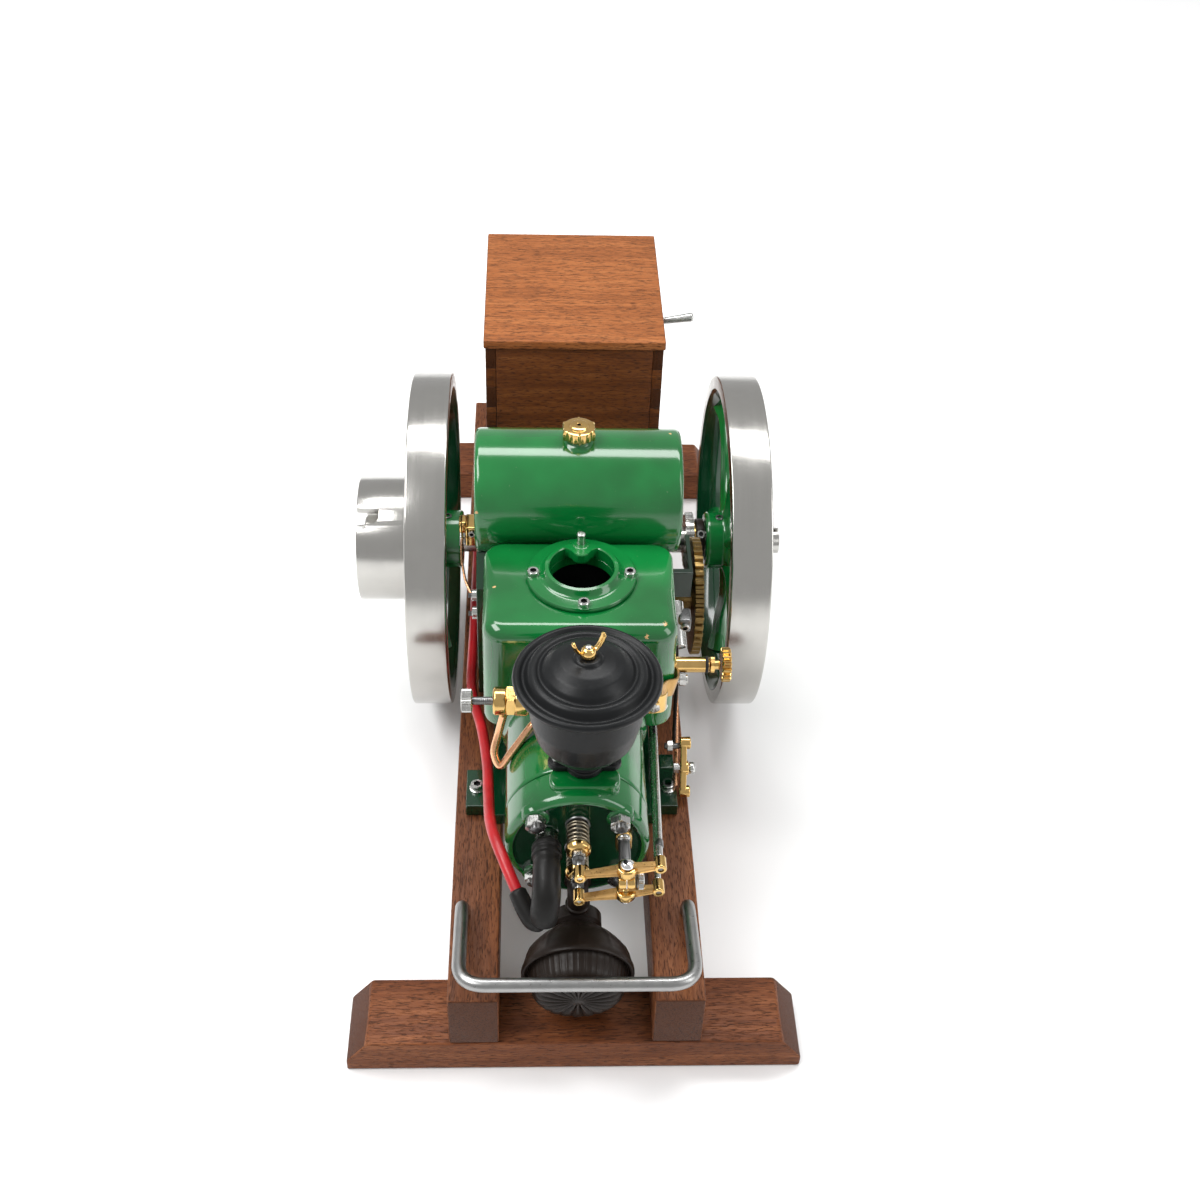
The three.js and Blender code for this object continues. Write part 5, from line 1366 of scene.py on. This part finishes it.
def right_side():
    low, high = span("grease_cup") - np.array([ORIGIN, ORIGIN])
    x0, y, z = low[0], -57.0, 80.0
    piece = Piece("grease_cup_brass")
    prof = [(0, 0), (3.4, 0), (3.4, 1.0), (3.1, 1.4), (2.75, 1.5), (2.75, 12.9), (2.5, 13.2), (1.7, 13.6),
            (1.7, 17),
            (0, 17)]
    piece.add(turned(eased(prof, 0.25, 3), "x", (x0, y, z), 64), brass)
    seal = eased([(2.6, 11.6), (2.95, 11.8), (2.95, 12.7), (2.6, 12.9)], 0.2, 3)
    piece.add(turned(seal, "x", (x0, y, z), 48), black_and_hollow_shade, loop_rows=True)
    nut(piece, 5.6, 13.5, 14.9, "x", (x0, y, z), brass, turn=0.2)
    piece.make("frame", "grease_cup", "brass")
    low, high = span("grease_cup_knob") - np.array([ORIGIN, ORIGIN])
    k0, k1 = low[0], high[0]
    n = 240
    a = TAU * np.arange(n) / n
    teeth = 5.35 + 0.62 * np.clip(1.6 * np.cos(16 * a), -1, 1)
    one = np.ones(n)
    rad = np.array([0.001 * one, 3.4 * one, teeth - 0.4, teeth, teeth, teeth - 0.4, 3.4 * one, 2.2 * one,
                    0.001 * one])
    hei = np.array([k0, k0, k0, k0 + 0.35, k1 - 0.35, k1, k1, k1 - 0.2, k1 - 0.2])[:, None] * one
    Piece("grease_cup_knob_brass").add(shaped(rad, hei, "x", (0, y, z)), brass, ends=False).make(
        "grease_knob", "grease_cup_knob", "brass", sharp=30)

    piece = Piece("latch_lever_casting")
    outline = belt((-71, 55.6), 2.0, (-76, 48.2), 2.5, 12)
    piece.add(plate(outline, 37.4, 39.6, 0.4, "x"), brass)
    outline = belt((-76, 48.2), 2.5, (-80.6, 41.2), 1.9, 12)
    piece.add(plate(outline, 37.4, 39.6, 0.4, "x"), brass)
    for (py, pz), r, h0, h1 in (((-71, 55.6), 2.2, 37.1, 41), ((-80.6, 41.2), 2.1, 37.1, 41),
                                ((-76, 48.2), 2.6, 37.3, 40.4)):
        boss = eased([(0, h0), (r - 0.3, h0), (r, h0 + 0.3), (r, h1 - 0.3), (r - 0.3, h1), (0, h1)], 0.2, 3)
        piece.add(turned(boss, "x", (0, py, pz), 44), brass)
    piece.make("latch", "latch_lever", "brass")
    piece = Piece("latch_bolt_steel")
    at = (0, -76, 48.2)
    bar(piece, 1.2, (35.2, -76, 48.2), (42, -76, 48.2), steel)
    nut(piece, 3.4, 35.2, 36.9, "x", at, steel, turn=0.2)
    head = eased([(0, 40.7), (2.1, 40.7), (2.1, 42.0), (1.6, 42.7), (0, 42.8)], 0.3, 3)
    piece.add(turned(head, "x", at, 40), steel)
    piece.make("frame", "latch_bolt", "bright_steel")
    a, b = np.array([36.06, -80.4, 43.53]), np.array([38, -36, 63.5])
    path = np.linspace(a, b, 12)
    piece = Piece("detent_rod_strip").add(carried(path, rounded_rect(1.2, 1.9, 0.35, 3)), copper)
    piece.make("detent", "detent_rod", "copper")

    piece = Piece("side_linkage")
    path = even(centripetal([(36.2, -45, 77.5), (36.4, -52, 70.5), (36.0, -60, 60.5), (35.4, -68, 51.5)],
                            60), 40)
    k = np.linspace(1.35, 0.8, 40)
    piece.add(carried(path, rounded_rect(3.4, 1.1, 0.4, 3)[:, ::-1], k), cast_black)
    guide_a, guide_b = np.array([36.9, -48.2, 79.8]), np.array([35.9, -34.4, 88.6])
    d = guide_b - guide_a
    length = np.linalg.norm(d)
    tube = eased([(2.1, 0.3), (2.3, 0), (2.75, 0), (2.9, 0.3), (2.9, length), (0, length), (0, 2.5),
                  (2.1, 2.5)], 0.2, 3)
    piece.add(turned(tube, tuple(d), guide_a, 44), steel)
    # the disc in the tube's mouth is near-black: painted shade in the bore
    piece.add(turned([(0, 0.9), (2.15, 0.9), (2.15, 2.6), (0, 2.6)], tuple(d), guide_a, 32), black_and_hollow_shade)
    strip = even(centripetal([(34.7, -39.6, 90), (34.7, -48, 83), (34.7, -56.6, 75.4)], 60), 60)
    wave = 1 + 0.10 * np.sign(np.sin(np.arange(60) * 1.35))
    piece.add(carried(strip, rounded_rect(1.1, 2.0, 0.3, 2), wave), brass)
    sheet = even(centripetal([(27.9, -81.6, 90.3), (29.6, -78.6, 89.6), (32.8, -76.0, 87.8),
                              (34.1, -69.5, 84.2),
                              (34.3, -63.6, 80.5), (34.3, -60.2, 77.6)], 80), 40)
    piece.add(carried(sheet, rounded_rect(0.8, 6.4, 0.3, 2)), cast_brass)
    bar(piece, 1.7, (33.6, -60.6, 76.4), (39.2, -60.6, 76.4), steel)
    nut(piece, 4.4, 36.4, 38.6, "x", (0, -60.6, 76.4), steel, turn=0.15)
    nut(piece, 3.6, 33.0, 34.8, "x", (0, -70.4, 53.4), steel, turn=0.3)
    bar(piece, 1.1, (32, -70.4, 53.4), (37.2, -70.4, 53.4), dark_steel)
    nut(piece, 3.2, 27.2, 28.8, (0.4, -0.9, 0.1), (0, 0, 0) + np.array([17.2, -58.5, 84.0]), steel)
    block = soft_box((36.6, -43.5, 82.6), (41.2, -36.5, 88.2), 0.8)
    piece.add(block, dark_steel)
    socket_screw(piece, 1.5, 1.4, (0, -1, 0), (39, -43.4, 85.6), steel, black_and_hollow_shade)
    piece.make("frame", slot="dark_iron")


def left_side():
    """Pickup bracket with a hooked wire and its two nuts, beside the left bearing."""
    piece = Piece("pickup_bracket_fittings")
    piece.add(soft_box((-39.0, 1.6, 84.0), (-34.4, 10.4, 92.6), 0.7), brass)
    piece.add(soft_box((-41.4, 3.2, 88.6), (-38.4, 8.8, 93.6), 0.9), brass)
    socket_screw(piece, 1.3, 1.2, (0, -1, 0), (-36.6, 1.7, 90.4), steel, black_and_hollow_shade)
    bar(piece, 0.7, (-40.6, 1.2, 84.6), (-40.6, 9.4, 91.4), steel)
    wire = even(centripetal([(-40.2, 1.6, 88.0), (-40.4, -1.6, 84.6), (-39.9, -5.4, 80.6),
                             (-38.6, -10.5, 77.2),
                             (-36.6, -15.2, 75.6), (-35.0, -18.2, 75.4)], 200), 60)
    piece.add(carried(wire, circle(0.5, 14)), copper)
    for y, z in ((-19.4, 78.4), (-21.6, 71.6)):
        nut(piece, 4.2, 34.1, 36.0, (-1, 0, 0), (0, y, z), steel, turn=0.3)
        stud(piece, 1.0, 34.1, 37.4, (-1, 0, 0), (0, y, z), dark_steel)
    piece.make("frame", slot="brass")


# ---------------------------------------------------------------- assembly of the picture

crank_steel = turned_steel("crank_steel", CRANK)
white_steel = metal("domed_pin_steel", (0.86, 0.86, 0.86), 0.08, 0.16)


def studio():
    scene = bpy.context.scene
    scene.view_settings.view_transform = "Standard"
    cam = bpy.data.cameras.new("studio_camera")
    cam.lens, cam.sensor_width = 48.016, 36.0
    obj = bpy.data.objects.new("studio_camera", cam)
    scene.collection.objects.link(obj)
    right = Vector((0.99905743, -0.03009081, 0.03128558)).normalized()
    up = Vector((-0.00354169, 0.66182547, 0.74964959))
    up = (up - right * up.dot(right)).normalized()
    back = right.cross(up)
    m = Matrix((right, up, back)).transposed().to_4x4()
    m.translation = Vector(((np.array([-14.905, -455.413, 461.214]) + ORIGIN) * MM).tolist())
    obj.matrix_world = m
    scene.camera = obj

    floor_mesh = bpy.data.meshes.new("table_top")
    s = 4.0
    floor_mesh.from_pydata([(-s, -s, 0), (s, -s, 0), (s, s, 0), (-s, s, 0)], [], [(0, 1, 2, 3)])
    floor = bpy.data.objects.new("table_top", floor_mesh)
    mat = Shader("pale_table")
    mat.rough(mat.ramp(mat.noise(mat.spot((40, 40, 40)), 1.0, 3), [(0.3, 0.55), (0.7, 0.65)]))
    mat.set(Base_Color=(0.92, 0.92, 0.92, 1))
    floor_mesh.materials.append(mat.mat)
    scene.collection.objects.link(floor)
    floor.location.z = -0.0002

    world = bpy.data.worlds.new("studio_air")
    scene.world = world
    world.use_nodes = True
    world.node_tree.nodes["Background"].inputs["Color"].default_value = (1, 1, 1, 1)
    world.node_tree.nodes["Background"].inputs["Strength"].default_value = 0.55
    for name, place, size, power, aim in (
            ("key_panel", (-0.6, -0.15, 0.95), (0.8, 0.45), 9.5, (0, 0, 0.06)),
            ("fill_panel", (0.85, -0.4, 0.6), (0.4, 0.8), 3.5, (0, 0, 0.06)),
            ("top_panel", (0.05, 0.35, 1.1), (1.2, 0.3), 9.5, (0, 0.0, 0.06))):
        light = bpy.data.lights.new(name, "AREA")
        light.shape, light.size, light.size_y, light.energy = "RECTANGLE", size[0], size[1], power
        lamp = bpy.data.objects.new(name, light)
        lamp.location = place
        lamp.rotation_euler = (Vector(aim) - Vector(place)).to_track_quat("-Z", "Y").to_euler()
        scene.collection.objects.link(lamp)


wooden_base()
bent_handle()
finger_box()
electrics()
toggle()
flywheel("flywheel_left", 1)
flywheel("flywheel_right", -1)
drive_pulley()
shaft_fittings()
gears()
running_gear()
bed()
water_hopper()
filler_collar()
tank()
cylinder_head()
valves()
rocker("rocker_upper", "intake_rocker", UP_Z)
rocker("rocker_lower", "exhaust_rocker", LOW_Z)
rocker_post()
pushrods()
ignition()
air_cleaner()
mixer()
exhaust()
right_side()
left_side()
studio()
